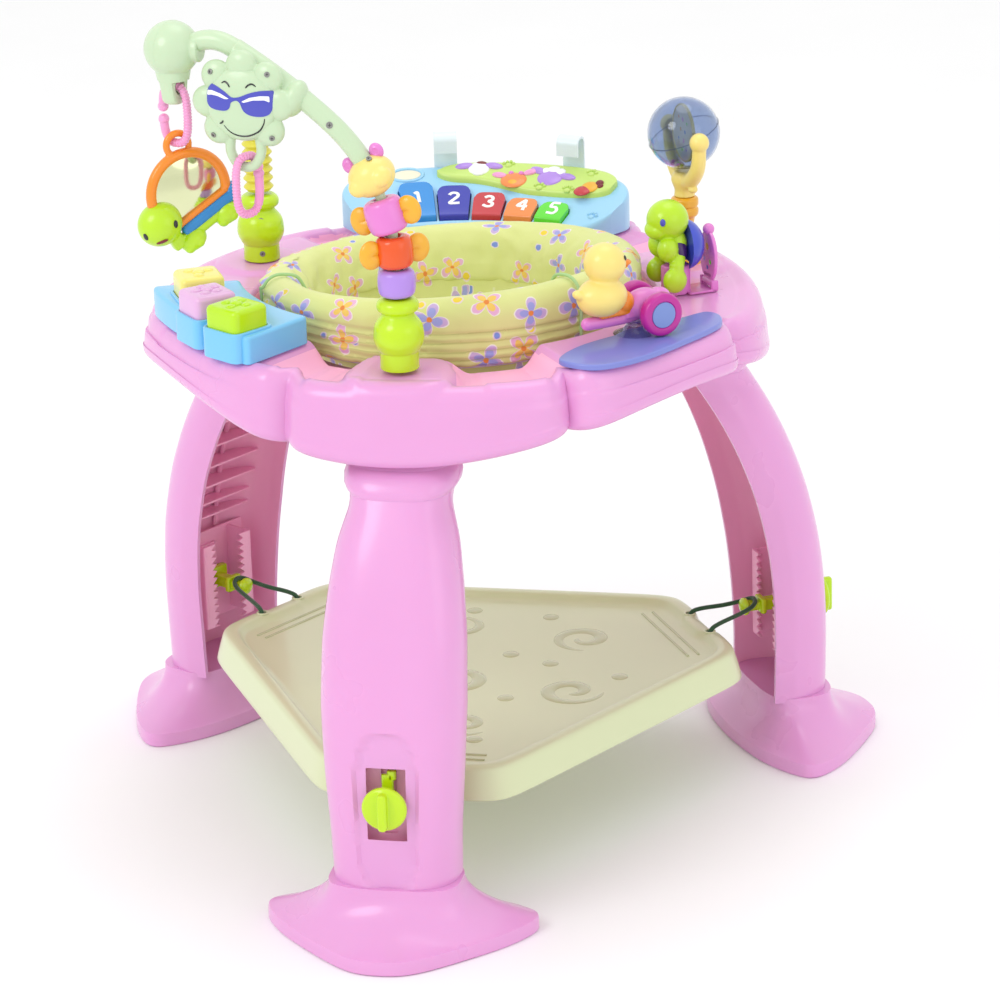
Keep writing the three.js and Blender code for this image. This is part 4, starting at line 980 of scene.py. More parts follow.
def printed_cotton(name):
    """Yellow-green cotton with scattered four-petal flowers, rings and dots, and a fine plain weave."""
    n = Nodes(name)
    where = n.add("Attribute", attribute_name="print").outputs["Vector"]
    ground = n.blend(n.noise(14, 3), (0.66, 0.72, 0.24, 1), (0.76, 0.79, 0.34, 1))

    def motif(scale, shift, keep):
        """A cell of scattered marks: distance and angle from its middle, random numbers, and its use."""
        moved_to = n.add("VectorMath", {0: where, 1: shift}, operation="ADD").outputs[0]
        cell = n.add("TexVoronoi", {"Vector": moved_to, "Scale": scale, "Randomness": 0.62},
                     voronoi_dimensions="2D")
        off = n.add("VectorMath", {0: moved_to, 1: cell.outputs["Position"]}, operation="SUBTRACT").outputs[0]
        parts = n.add("SeparateXYZ", {0: off})
        chance = n.add("SeparateColor", {0: cell.outputs["Color"]})
        far = n.math("SQRT", n.math("ADD", n.math("MULTIPLY", parts.outputs[0], parts.outputs[0]),
                                    n.math("MULTIPLY", parts.outputs[1], parts.outputs[1])))
        turn = n.math("ARCTAN2", parts.outputs[1], parts.outputs[0])
        used = n.math("LESS_THAN", chance.outputs[0], keep)
        return far, turn, chance, used

    def inside(far, limit, soft=0.0006):
        edge = n.math("SUBTRACT", limit, far)
        return n.ramp(edge, -soft, soft)

    far, turn, chance, used = motif(21, (0, 0, 0), 0.7)
    spun = n.math("ADD", turn, n.math("MULTIPLY", chance.outputs[1], 1.5))
    lobes = n.math("POWER", n.math("ABSOLUTE", n.math("COSINE", n.math("MULTIPLY", spun, 2.0))), 0.8)
    reach = n.math("MULTIPLY_ADD", chance.outputs[2], 0.003, 0.0145)
    petal = n.math("MULTIPLY", lobes, reach)
    halo = n.math("MULTIPLY", inside(far, n.math("ADD", petal, 0.0012)), used)
    rim = n.math("MULTIPLY", inside(far, petal), used)
    core = n.math("MULTIPLY", inside(far, n.math("MULTIPLY", petal, 0.72)), used)
    heart = n.math("MULTIPLY", inside(far, 0.0026), used)
    warm = n.math("GREATER_THAN", chance.outputs[1], 0.42)
    rim_color = n.blend(warm, (0.52, 0.33, 0.70, 1), (0.76, 0.34, 0.62, 1))
    fill = n.blend(warm, (0.30, 0.36, 0.76, 1), (0.90, 0.62, 0.03, 1))
    color = n.blend(halo, ground, (0.88, 0.86, 0.80, 1))
    color = n.blend(n.math("MULTIPLY", rim, 0.8), color, rim_color)
    color = n.blend(n.math("MULTIPLY", core, 0.85), color, fill)
    color = n.blend(heart, color, (0.80, 0.25, 0.05, 1))
    far, turn, chance, used = motif(30, (0.33, 0.71, 0), 0.4)
    size = n.math("MULTIPLY_ADD", chance.outputs[2], 0.002, 0.0026)
    free = n.math("MULTIPLY", used, n.math("SUBTRACT", 1.0, halo))
    dot_color = n.blend(n.math("GREATER_THAN", chance.outputs[1], 0.5), (0.20, 0.30, 0.72, 1),
                        (0.88, 0.66, 0.05, 1))
    color = n.blend(n.math("MULTIPLY", inside(far, n.math("ADD", size, 0.0013)), free), color,
                    (0.80, 0.68, 0.72, 1))
    color = n.blend(n.math("MULTIPLY", inside(far, size), free), color, dot_color)
    thread = n.add("SeparateXYZ", {0: where})
    # A darker line along each tuck: its stitching, with painted shade in the crease.
    for height in (0.0098, 0.0188, 0.0278, 0.0368):
        tuck_crease_far = n.math("ABSOLUTE", n.math("SUBTRACT", thread.outputs[1], height))
        color = n.blend(n.math("MULTIPLY", inside(tuck_crease_far, 0.0007), 0.5), color, (0.45, 0.52, 0.14, 1))
    warp = n.math("SINE", n.math("MULTIPLY", thread.outputs[0], 2 * PI / 0.0011))
    weft = n.math("SINE", n.math("MULTIPLY", thread.outputs[1], 2 * PI / 0.0011))
    weave = n.math("MULTIPLY", warp, weft)
    shade = n.math("MULTIPLY_ADD", weave, 0.035, 1.0)
    n.set(n.shader.inputs["Base Color"], n.add("VectorMath", {0: color, 3: shade},
                                               operation="SCALE").outputs[0])
    n.set(n.shader.inputs["Roughness"], 0.85)
    n.set(n.shader.inputs["Sheen Weight"], 0.25)
    n.set(n.shader.inputs["Sheen Roughness"], 0.5)
    n.bump(n.math("ADD", n.math("MULTIPLY", weave, 0.25), n.noise(160, 4)), 0.25, 0.0005)
    return n.material


COTTON = printed_cotton("printed_cotton")
PIPING = plastic("piping_green", (0.42, 0.66, 0.30), rough=0.75, coat=0, peel=0.5)
WHITE = plastic("white_satin", tone(226, 240, 247), rough=0.35)


def finer(shape):
    """The shape with each face divided once and smoothed."""
    obj = as_object(shape)
    obj.modifiers.new("finer", "SUBSURF").levels = 1
    return baked(obj)


roll = finer(puffed(seat_roll(), seat_held))
roll = gathered(roll[0]), roll[1], roll[2]
rim = piece("seat_rim", roll, COTTON, "seat", "seat_fabric", sharp=180)
store_print(rim, print_line())


def seat_sling():
    """The hanging bowl of the seat, with two leg holes, thin cloth with a turned edge."""
    rings = []
    for i in range(48):
        t = i / 47
        row = []
        for angle in np.arange(0, 360, 2.5):
            r = 146 * math.cos(t * PI / 2) ** 0.82 + 0.5
            z = mix(519, 377, math.sin(t * PI / 2) ** 1.15)
            sag = 1.8 * math.sin(math.radians(angle * 11 + 40 * t)) * t * (1 - t) * 2
            row.append(polar(r + sag, angle, z))
        rings.append(row)
    inner = skin(rings, caps=False)
    outer = [[tuple(np.array(p) * (1.018, 1.018, 1) - (0, 0, 2.2)) for p in row] for row in rings]
    shell = skin(rings[::-1] + outer, closed=True)
    bore = lathe([(0, -90), (45, -90), (45, 90), (0, 90)], 48)
    return carved(shell, *(moved(bore, (side * 66, -58, 415)) for side in (-1, 1)))


sling = piece("seat_sling", seat_sling(), COTTON, "seat", sharp=180)
bowl = spline([(146, 500), (132, 455), (105, 405), (60, 384), (0, 378)], 12)
store_print(sling, np.concatenate([print_line(), bowl]))


def seam_path(angle):
    points = []
    for r, z in print_line(angle)[8:-2]:
        points.append(polar(r + (2.2 if r > 172 else -2.2), angle, z + (2.4 if 155 < r < 190 else 0)))
    return points


for angle in SEAM_ANGLES:
    line = spline(seam_path(angle)[::6], 4)
    piece(f"piping_{angle}", tube(line, 1.7, 8), PIPING, "seat")
ring = lathe(rounded([(160, 521), (182, 521), (182, 558), (160, 558)], 3, 4, closed=True), 96, closed=True)
piece("seat_carrier", ring, WHITE, "seat", "seat_ring")


# ---------- toys: materials ----------
YELLOW = plastic("soft_yellow", tone(246, 222, 126), rough=0.36)
GOLD = plastic("gold_wing", tone(238, 176, 40), rough=0.3)
PURPLE = plastic("bead_purple", tone(178, 138, 226), rough=0.22)
ORANGE_RED = plastic("bead_orange", tone(232, 84, 14), rough=0.22)
ROSE = plastic("rose_gloss", tone(226, 128, 206), rough=0.26)
LINK_PINK = plastic("link_pink", tone(240, 160, 208), rough=0.32, soft=0.15)
ORANGE = plastic("orange_gloss", tone(240, 138, 22), rough=0.26)
BLUE = plastic("bar_blue", tone(30, 132, 200), rough=0.26)
TURTLE = plastic("turtle_green", tone(184, 226, 26), rough=0.3)
SPRING = plastic("spring_yellow", tone(224, 216, 62), rough=0.4)
SKY = plastic("station_sky", tone(118, 196, 242), rough=0.25)
PALE_SKY = plastic("piano_sky", tone(158, 212, 244), rough=0.3)
BLOCK_YELLOW = plastic("block_yellow", tone(240, 228, 122), rough=0.25)
BLOCK_LILAC = plastic("block_lilac", tone(226, 176, 222), rough=0.25)
BLOCK_LIME = plastic("block_lime", tone(184, 228, 8), rough=0.22)
VIOLET = plastic("plate_violet", tone(122, 132, 208), rough=0.34)
MAGENTA = plastic("tyre_magenta", tone(190, 26, 150), rough=0.3)
HUB = plastic("hub_blue", tone(120, 144, 208), rough=0.34)
SHELL_BLUE = plastic("shell_blue", tone(58, 76, 196), rough=0.28)
DARK_PURPLE = plastic("belly_purple", tone(62, 22, 92), rough=0.35)
PANEL_GREEN = plastic("panel_green", tone(198, 226, 118), rough=0.34)
KEY_BLUE = plastic("key_blue", tone(40, 140, 218), rough=0.24)
KEY_INDIGO = plastic("key_indigo", tone(48, 54, 172), rough=0.24)
KEY_RED = plastic("key_red", tone(196, 50, 60), rough=0.26)
KEY_ORANGE = plastic("key_orange", tone(240, 140, 70), rough=0.26)
KEY_GREEN = plastic("key_green", tone(96, 220, 50), rough=0.26)
PAINT_WHITE = plastic("paint_white", tone(248, 250, 252), rough=0.5, coat=0)
PAINT_BLACK = plastic("paint_black", (0.01, 0.01, 0.012), rough=0.2)
PAINT_INDIGO = plastic("paint_indigo", tone(72, 76, 186), rough=0.35)
DARK_RED = plastic("paint_dark_red", tone(120, 24, 30), rough=0.4)
CARD = plastic("disc_card", tone(240, 234, 210), rough=0.55, coat=0, mottle=0.12)


def steel(name):
    n = Nodes(name)
    n.set(n.shader.inputs["Base Color"], n.blend(n.noise(900, 3), (0.20, 0.20, 0.19, 1),
                                                 (0.42, 0.42, 0.40, 1)))
    n.set(n.shader.inputs["Metallic"], 0.9)
    n.set(n.shader.inputs["Roughness"], n.math("MULTIPLY_ADD", n.noise(400, 3), 0.25, 0.28))
    n.bump(n.noise(1500, 2), 0.3, 0.0001)
    return n.material


def mirror_film(name):
    """A soft mirror sheet: slightly wavy, with a faint haze."""
    n = Nodes(name)
    n.set(n.shader.inputs["Base Color"], n.blend(n.noise(25, 3), (0.66, 0.70, 0.40, 1),
                                                 (0.78, 0.80, 0.52, 1)))
    n.set(n.shader.inputs["Metallic"], 1.0)
    n.set(n.shader.inputs["Roughness"], n.math("MULTIPLY_ADD", n.noise(60, 4), 0.08, 0.05))
    n.bump(n.noise(18, 1), 0.4, 0.002)
    return n.material


def clear_shell(name, tint, rough=0.03):
    n = Nodes(name)
    smear = n.noise(30, 5)
    n.set(n.shader.inputs["Base Color"], n.blend(smear, rgba(tint, 0.96), rgba(tint, 1.03)))
    n.set(n.shader.inputs["Roughness"], n.math("MULTIPLY_ADD", smear, 0.05, rough))
    n.set(n.shader.inputs["Transmission Weight"], 0.96)
    n.set(n.shader.inputs["IOR"], 1.42)
    n.set(n.shader.inputs["Coat Weight"], 0.3)
    n.bump(n.noise(9, 1), 0.05, 0.001)
    return n.material


STEEL = steel("screw_steel")
MIRROR = mirror_film("mirror_film")
CLEAR = clear_shell("globe_clear", (0.50, 0.59, 0.78))
CLEAR_LILAC = clear_shell("cone_lilac", (0.62, 0.66, 0.92), 0.15)


# ---------- toys: shared shapes ----------
def basis(at, x, z):
    """A matrix whose X and Z axes point these ways."""
    z = Vector(z).normalized()
    x = Vector(x)
    x = (x - z * x.dot(z)).normalized()
    place = Matrix((x, z.cross(x), z)).transposed().to_4x4()
    place.translation = at
    return place


def facing(at, toward):
    return Matrix.Translation(at) @ Vector(toward).to_track_quat("Z", "Y").to_matrix().to_4x4()


def screw(name, at, toward, body, radius=2.6):
    """A sunken screw: a rim in the plastic and a crossed head."""
    rim = rounded([(radius, -1), (radius + 1.1, -1), (radius + 1.1, 0.3), (radius, 0.3)], 0.3, 3, closed=True)
    head = lathe([(0, -1), (radius, -1), (radius, 0), (radius * 0.6, 0.15), (0, 0.2)], 20)
    cross = [block((radius * 1.5, 0.5, 0.3), (0, 0, 0.25), (0, 0, a), bevel=0.1, corner=0.1) for a in (0, 90)]
    shape = joined(painted(lathe(rim, 24, closed=True), 0), painted(head, 0), *[painted(c, 1) for c in cross])
    return piece(name, placed(shape, facing(at, toward)), [STEEL, PAINT_BLACK], body)


def evenly(points, count):
    p = np.array(points, float)
    along = np.concatenate([[0], np.cumsum(np.linalg.norm(np.diff(p, axis=0), axis=1))])
    where = np.linspace(0, along[-1], count)
    return np.stack([np.interp(where, along, p[:, k]) for k in range(3)], 1)


def wall(outline, near, far):
    """An outline of (x, z) raised along -Y, from near to far."""
    return moved(slab(outline, near, far, 0.01, 1), turn=(90, 0, 0))


# ---------- front post, beads and head ----------
HEADING = 172  # compass of the arch's plane
FRONT = (0, -257)
ARCH_PATH = [
    (0, 566), (0, 600), (0, 640), (1, 668), (4, 688), (9, 704), (19, 734), (33, 757), (54, 781), (85, 807),
    (115, 829), (143, 847), (165, 859), (183, 861), (202, 855), (212, 852),
]


def on_arch(along, z):
    x, y, _ = polar(along, HEADING)
    return (FRONT[0] + x, FRONT[1] + y, z)


ARCH_LINE = spline([on_arch(s, z) for s, z in ARCH_PATH], 10)


def arch_radius(t):
    return mix(5.2, 9.6, smooth((ARCH_LINE[round(t * (len(ARCH_LINE) - 1))][2] - 728) / 8))


def bulb_post():
    """A turned foot: a short cylinder, a bulb and a ring."""
    return vase([(0, 0), (19, 0, 1.2), (18.6, 17, 1.5), (20, 18.5, 1), (25, 28, 9),
                 (23.6, 44, 9), (16, 53, 4),
                 (15.4, 55.5, 2), (20.6, 59, 3.4), (20.4, 66, 3.6), (15.5, 70.4, 2.4), (0, 70.4)])


piece("front_post_skin", moved(bulb_post(), (*FRONT, 548)), LIME, "stand", "front_post")
screw("front_post_screw", (-11.5, -275.2, 586), (-0.55, -0.82, 0.1), "stand", 2.3)
piece("arch_tube_skin", tube(ARCH_LINE, arch_radius, 28), MINT, "stand", "arch_tube")
screw("arch_screw", (-58.5, -258.8, 787), (0.15, -0.97, 0.2), "stand", 2.2)

BEADS = {
    "purple": {"at": (0, -257, 633.5), "x": (1, 0, 0), "z": (0, 0, 1), "radius": 18.4, "tall": 27.4,
               "paint": PURPLE},
    "orange": {"at": (-0.99, -256.86, 664), "x": (0.847, 0.53, 0.04), "z": (-0.0518, 0.0073, 0.9986),
               "radius": 18.2,
               "tall": 31, "paint": ORANGE_RED, "wings": True},
    "pink": {"at": (-8.32, -255.83, 699), "x": (0.947, -0.133, 0.292), "z": (-0.2895, 0.0407, 0.9563),
             "radius": 19.6,
             "tall": 34, "paint": ROSE, "wings": True},
}


def bead_barrel(radius, tall):
    h = tall / 2
    half = [(6.3, -h), (radius * 0.72, -h), (radius * 0.93, -h * 0.8), (radius, -h * 0.35)]
    return lathe(rounded(half + [(r, -z) for r, z in half[::-1]], 5, 5, closed=True), 56, closed=True)


def wing(radius, side):
    """A plump round ear with a groove that runs out from the bead."""
    points, faces, slots = blob(10.6, scale=(1.12, 0.56, 1.34), steps=40)
    groove = 1 - 0.42 * np.exp(-((points[:, 2] / 2.2) ** 2)) * np.clip((6 - points[:, 0] * side) / 9, 0, 1)
    points[:, 1] *= groove
    return moved((points, faces, slots), (side * (radius + 5.5), 0, 0))


for name, bead in BEADS.items():
    place = basis(bead["at"], bead["x"], bead["z"])
    shape = placed(bead_barrel(bead["radius"], bead["tall"]), place)
    piece(f"{name}_barrel", shape, bead["paint"], "ring_" + name, "bead_" + name)
    if "wings" in bead:
        wings = placed(joined(wing(bead["radius"], 1), wing(bead["radius"], -1)), place)
        piece(f"{name}_wings", wings, GOLD, "ring_" + name)

HEAD = basis((-20.8, -254.08, 737), (0.8576, -0.1205, 0.5), (-0.495, 0.0696, 0.866))
skull = fused(joined(blob(22.5, scale=(1.05, 1, 0.88)), blob(11, (12, -11, -4), (1.1, 1, 0.9)),
                     blob(11, (-11, -12, -3), (1, 1, 0.9))), 1.0, 10)
piece("head_skin", placed(skull, HEAD), YELLOW, "stand", "worm_head")
ears = [blob(7, (side * 16, 3, 18.5), (1.0, 0.72, 1.15)) for side in (-1, 1)]
hollows = [blob(5.4, (side * 16.5, -2.6, 19), (0.8, 0.35, 0.9)) for side in (-1, 1)]
piece("head_ears", placed(carved(joined(*ears), *hollows), HEAD), ROSE, "stand")
screw("head_screw", (-20.5, -264.5, 757.2), (0.0, -0.5, 0.85), "stand", 1.7)

# ---------- arch: ball, flower and links ----------
BALL = Matrix.Translation(on_arch(219, 851)) @ Matrix.Rotation(math.radians(HEADING - 180), 4, "Z")
FLOWER = Matrix.Translation(on_arch(143, 805)) @ Matrix.Rotation(math.radians(HEADING - 180), 4, "Z")
EYE_TURN = -12  # of the eye's bore in the ball's neck


def end_ball():
    socket = vase([(0, -53.5), (9.5, -53.5, 4), (12.6, -49, 3), (14, -38, 8), (17.6, -20, 6),
                   (18, -8, 0), (0, -8)], 2)
    collar = moved(vase([(0, -6), (13, -6, 2), (13, 5, 2), (0, 5)]), (25, 0, 1), (0, 90, 0))
    body = fused(joined(blob(27, steps=56), socket, collar), 0.8, 4)
    eye = moved(lathe([(0, -40), (7.8, -40), (7.8, 40), (0, 40)], 36), (0, 0, -37), (0, 90, EYE_TURN))
    flats = []
    for side in (-1, 1):
        x, y, _ = polar(side * 17, EYE_TURN)
        flats.append(block((20, 60, 34), (x, y, -47), (0, 0, EYE_TURN), bevel=2, corner=2))
    return placed(carved(body, eye, *flats), BALL)


piece("ball_skin", end_ball(), MINT, "stand", "arch_ball", sharp=60)
seam = lathe(rounded([(26.6, -0.35), (27.15, 0), (26.6, 0.35)], 0.1, 2, closed=True), 96, closed=True)
piece("ball_seam", placed(moved(seam, turn=(0, 90, -18)), BALL), MINT, "stand")

FACE = [(0, 13.5), (20, 12), (34, 7), (37, 0)]  # the face's dome: radius, height


def face_depth(x, z):
    return -14 - float(np.interp(math.hypot(x, z), [p[0] for p in FACE], [p[1] for p in FACE]))


def face_dome(grow=0.0):
    profile = [(0, -6), (35, -6, 1), (37.2 + grow, 0, 2), (34 + grow, 7.2 + grow, 4), (20, 12.2 + grow, 8),
               (0, 13.5 + grow)]
    return moved(vase(profile, 2, 72), (0, -14, 0), (90, 0, 0))


def flower_body():
    petals = []
    for i in range(8):
        a = math.radians(90 + i * 45)
        if i != 4:
            petals.append(blob(15.6, (36 * math.cos(a), -13, 36 * math.sin(a)), (1, 0.56, 1)))
    inside = FLOWER.inverted()
    housing = [inside @ Vector(p) for p in ARCH_LINE]
    housing = [p for p in housing if -44 < p[0] < 56 and p[2] < 50]
    hoop = spline([(-14.5, -12, -34), (-15.6, -12, -48), (-9, -12, -60), (0, -12, -63), (9, -12, -60),
                   (15.6, -12, -48),
                   (14.5, -12, -34)], 6)
    collar = blob(19, (48, -2, 4), (0.62, 0.85, 1), (0, 24, 0))
    body = [*petals, tube(housing, 10.5, 24), collar, tube(hoop, 4.9, 18)]
    return fused(joined(*body), 0.9, 4)


piece("flower_petals", placed(flower_body(), FLOWER), MINT, "stand", "flower", sharp=60)
piece("flower_face", placed(face_dome(), FLOWER), MINT, "stand")
GLASSES = [
    (-34.9, 17.4), (-33.3, 19), (-27.5, 19.3), (-20.9, 17.4), (-12.6, 13.2), (-5.9, 8.6),
    (1.5, 9.1), (12.3, 13.2),
    (22.3, 15.2), (32.2, 14.9), (35.2, 11.6), (33.9, 6.6), (33, -1.7), (29.7, -7.5),
    (22.3, -9.5), (12.3, -8.4),
    (5.7, -4.2), (2.4, 3.3), (-1.4, 5.6), (-6.8, 3.3), (-8.4, -1.7), (-12.6, -4.7),
    (-20.9, -5), (-29.2, -3.4),
    (-33.3, 1.6), (-34.9, 8.2),
]
GLINTS = [
    [(-32.9, 12.8), (-27.5, 13.6), (-17.5, 11.4), (-8.5, 7), (-12.5, 6.4), (-20.9, 8.9),
     (-27.5, 9.4), (-32.9, 8.4)],
    [(4, 4.9), (12.3, 9), (22.3, 10.6), (30.7, 10.2), (31, 4.4), (26.5, 6.6), (15.7, 6.6), (6.5, 4)],
]
glasses = carved(face_dome(0.5), wall(spline(GLASSES, 4, closed=True), 15, 40), operation="INTERSECT")
piece("flower_glasses", placed(glasses, FLOWER), PAINT_INDIGO, "stand")
for i, glint in enumerate(GLINTS):
    shape = carved(face_dome(0.7), wall(rounded(glint, 1, 2, closed=True), 15, 40), operation="INTERSECT")
    piece(f"flower_glint_{i}", placed(shape, FLOWER), PAINT_WHITE, "stand")
STROKES = [
    [(-16.3, -19.6), (-10.9, -25.8), (-4.3, -29.1), (3.2, -29.9), (10.6, -28.6), (18.9, -24.1),
     (23.6, -17.5), (25.2, -11.7)],
    [(-20.9, -18.6), (-17.9, -17.2), (-16.3, -15)],
    [(-16.7, 21), (-13.4, 22.6), (-10.1, 21), (-7.9, 18)],
    [(8.2, 18), (10.7, 20.4), (14.3, 21.5), (18.1, 19.2)],
]
strokes = []
for stroke in STROKES:
    line = spline([(x, face_depth(x, z), z) for x, z in stroke], 6)
    strokes.append(tube(line, lambda t: 0.4 + 0.55 * math.sin(PI * t) ** 0.6, 8))
piece("flower_strokes", placed(joined(*strokes), FLOWER), PAINT_BLACK, "stand")
for i, (x, z) in enumerate([(-29, 31), (29, 31), (-29, -31), (31, -31)]):
    screw(f"flower_screw_{i}", FLOWER @ Vector((x, -21.4, z)),
          FLOWER.to_3x3() @ Vector((x / 90, -1, z / 90)), "stand",
          1.6)


def link(mouth):
    """A C-shaped link: a rounded bar with rolled ribs on the half away from its mouth."""
    half_wide, half_high, wire, opening = 14, 28.5, 4.3, 0.12
    line = []
    for i in range(400):
        a = mouth + opening + i / 399 * (2 * PI - 2 * opening)
        c, s = math.cos(a), math.sin(a)
        line.append((half_wide * math.copysign(abs(c) ** 0.71, c), 0,
                     half_high * math.copysign(abs(s) ** 0.71, s)))
    line = evenly(line, 300)

    def radius(t):
        ribbed = smooth((t - 0.2) / 0.03) * smooth((0.9 - t) / 0.03)
        return wire - ribbed * 0.75 * (0.5 + 0.5 * math.cos(t * 2 * PI * 44))

    knobs = [blob(wire + 1, line[0], steps=20), blob(wire + 1, line[-1], steps=20)]
    return joined(tube(line, radius, 16), *knobs)


place = Matrix.Translation((-216.87, -226.52, 786.6)) @ Matrix.Rotation(math.radians(-20), 4, "Z")
piece("link_ball_skin", placed(link(PI), place), LINK_PINK, "link_1", "link_ball")
place = Matrix.Translation((-143.28, -248.98, 724.1)) @ Matrix.Rotation(math.radians(HEADING + 60), 4, "Z")
piece("link_flower_skin", placed(link(0.9 * PI), place), LINK_PINK, "link_2", "link_flower")

# ---------- hanging turtle with its mirror ----------
HANGING = basis((-209.93, -221.10, 708.06), (0.682, 0.533, 0.5), (-0.394, -0.308, 0.866))


def turtle_arc(radius, x, z, start, end, count=48):
    return [(x + radius * math.cos(a), 0, z + radius * math.sin(a)) for a in np.linspace(start, end, count)]


frame_bar = tube(turtle_arc(39, 0, 0, -0.55, PI + 0.55), 5.2, 20)
hang_loop = tube(turtle_arc(11.5, 16.4, 46, -0.25 * PI, 1.25 * PI), 3.5, 16)
sill = block((70, 9, 6), (0, 0, -21.5), bevel=1.5)
piece("turtle_frame", placed(fused(joined(frame_bar, hang_loop, sill), 0.8, 3), HANGING), ORANGE,
      "hanging_turtle",
      "mirror_frame", sharp=60)
above = [(34.4 * math.cos(a), 34.4 * math.sin(a)) for a in np.linspace(-0.62, PI + 0.62, 60)]
disc = moved(slab(above, -1.4, 1.4, 0.3, 2, under=0.3), turn=(90, 0, 0))
piece("turtle_mirror", placed(disc, HANGING), MIRROR, "hanging_turtle", "mirror_plate")
bar = fused(joined(block((66, 14, 13), (6, 0, -30), bevel=4, corner=5),
                   blob(8, (38, 0, -26), (1, 0.9, 0.9))), 0.8, 5)
piece("turtle_bar", placed(bar, HANGING), BLUE, "hanging_turtle", "mirror_turtle_rim")


def turtle_foot(x):
    lump = joined(blob(12, (x, 0, -42), (1.2, 1.05, 0.95)), blob(6, (x - 8, -5, -45)),
                  blob(6, (x + 2, -7, -45)))
    floor = block((60, 40, 20), (x, 0, -60.5), bevel=0.1)
    return carved(fused(lump, 0.8, 5), floor)


lump = fused(joined(blob(21.4, (-41, 0, -8), (1.05, 0.92, 1), steps=48), block((14, 12, 34), (-36, 0, -24)),
                    block((56, 12, 12), (-4, 0, -37), bevel=3)), 0.9, 6)
body = joined(lump, turtle_foot(-22), turtle_foot(20))
piece("turtle_body", placed(body, HANGING), TURTLE, "hanging_turtle",
      "mirror_turtle_body", sharp=60)


def on_head(toward, radius=21.4):
    """A place on the hanging turtle's head, and the way it faces, from a direction in world axes."""
    way = HANGING.to_3x3().inverted() @ Vector(toward).normalized()
    local = Vector((-41 + way.x * radius * 1.05, way.y * radius * 0.92, -8 + way.z * radius))
    return HANGING @ local


for i, toward in enumerate([(-0.42, -0.86, -0.36), (0.86, -0.45, 0.12)]):
    eye = placed(blob(3.4, scale=(0.8, 1.15, 0.4), steps=20), facing(on_head(toward), toward))
    piece(f"turtle_eye_{i}", eye, PAINT_BLACK, "hanging_turtle")
toward = (0.32, -0.74, -0.62)
mouth = placed(blob(4.2, scale=(1.5, 0.5, 0.3), turn=(0, 0, 25), steps=20), facing(on_head(toward), toward))
piece("turtle_mouth", mouth, DARK_RED, "hanging_turtle")

# ---------- left post with its spring ----------
LEFT = (-221.99, 98.84)
piece("left_post_skin", moved(bulb_post(), (*LEFT, 545)), LIME, "stand", "left_post")
screw("left_post_screw", (-216.5, 79.4, 591), (0.2, -0.95, 0.2), "stand", 2.2)
screw("left_post_screw_low", (-216.8, 80.6, 555), (0.2, -0.95, 0.05), "stand", 1.8)
ribs = []
for i in range(7):
    ribs += [(11.6, 3 + i * 9.2, 1.2), (16, 7.4 + i * 9.2, 1.0)]
spring = vase([(0, 0), *ribs, (11.6, 67.5, 1.5), (15, 71, 3), (14.5, 80, 5), (9, 87.5, 3), (0, 89.2)], 1, 56)
piece("spring_skin", moved(spring, (*LEFT, 615.8)), SPRING, "spring", "spring_stem")

# ---------- press blocks ----------
BLOCKS = {
    "yellow": {"at": (-229, -132), "turn": 27, "paint": BLOCK_YELLOW},
    "lilac": {"at": (-206, -189), "turn": 41, "paint": BLOCK_LILAC},
    "green": {"at": (-166, -231), "turn": 56, "paint": BLOCK_LIME},
}


def square(half, corner):
    return rounded([(-half, -half), (half, -half), (half, half), (-half, half)], corner, 6, closed=True)


def block_base():
    ends = (200, 240.8)
    rim = [polar(tray_edge(a) - 5, a)[:2] for a in (ends[0], *np.linspace(203, 237.8, 20), ends[1])]
    heel = [polar(215, a)[:2] for a in (ends[1], *np.linspace(236.8, 204, 14), ends[0])]
    outline = []
    for arc in (rim, heel):
        outline += [(*point, 7 if i in (0, len(arc) - 1) else 0) for i, point in enumerate(arc)]
    base = slab(rounded(outline, 0, 6, closed=True), 547.4, 575.2, 3.5)
    collars, pockets = [], []
    for item in BLOCKS.values():
        collars.append(moved(slab(square(26, 10), 0, 29.6, 1.4), (*item["at"], 548), (0, 0, item["turn"])))
        pockets.append(moved(slab(square(23.3, 9), 0, 40, 0.1), (*item["at"], 560), (0, 0, item["turn"])))
    return carved(carved(base, *collars, operation="UNION"), *pockets)


def press_block(kind):
    """A block with soft edges and a raised figure on its top."""
    cube = slab(square(22.5, 8), 0, 30, 5.5, 6, under=1)
    marks = [blob(6.5, (0, 0, 30), (1, 1, 0.45))]
    count = {"yellow": 3, "lilac": 5, "green": 4}[kind]
    for k in range(count):
        x, y, _ = polar(11, k * 360 / count + 20)
        marks.append(blob(5.2, (x, y, 29.6), (1.1, 0.9, 0.5)))
    return joined(cube, *marks)


piece("block_base_skin", block_base(), SKY, "stand", "block_base")
for name, item in BLOCKS.items():
    shape = moved(press_block(name), (*item["at"], 569.4), (0, 0, item["turn"]))
    piece("block_skin_" + name, shape, item["paint"], "button_" + name, "block_" + name)

# ---------- duck station ----------
PLATE = [(150, -229), (164, -243), (189, -248), (214, -233), (237, -206), (262, -163),
         (284, -121), (290, -97),
         (284, -76), (270, -69), (255, -83), (229, -115), (181, -165), (159, -197)]
piece("duck_plate_skin", slab(spline(PLATE, 6, closed=True), 547.4, 553, 2, 5), VIOLET, "stand",
      "duck_plate")
cone = vase([(0, 0), (22, 0, 0.5), (14, 3, 3), (8.4, 9, 2), (7.8, 12, 0.5), (0, 12)], 1)
piece("spin_cone", moved(cone, (211, -143, 552.6)), CLEAR_LILAC, "stand")
CAR = Matrix.Translation((211, -143, 552.9)) @ Matrix.Rotation(math.radians(40), 4, "Z")


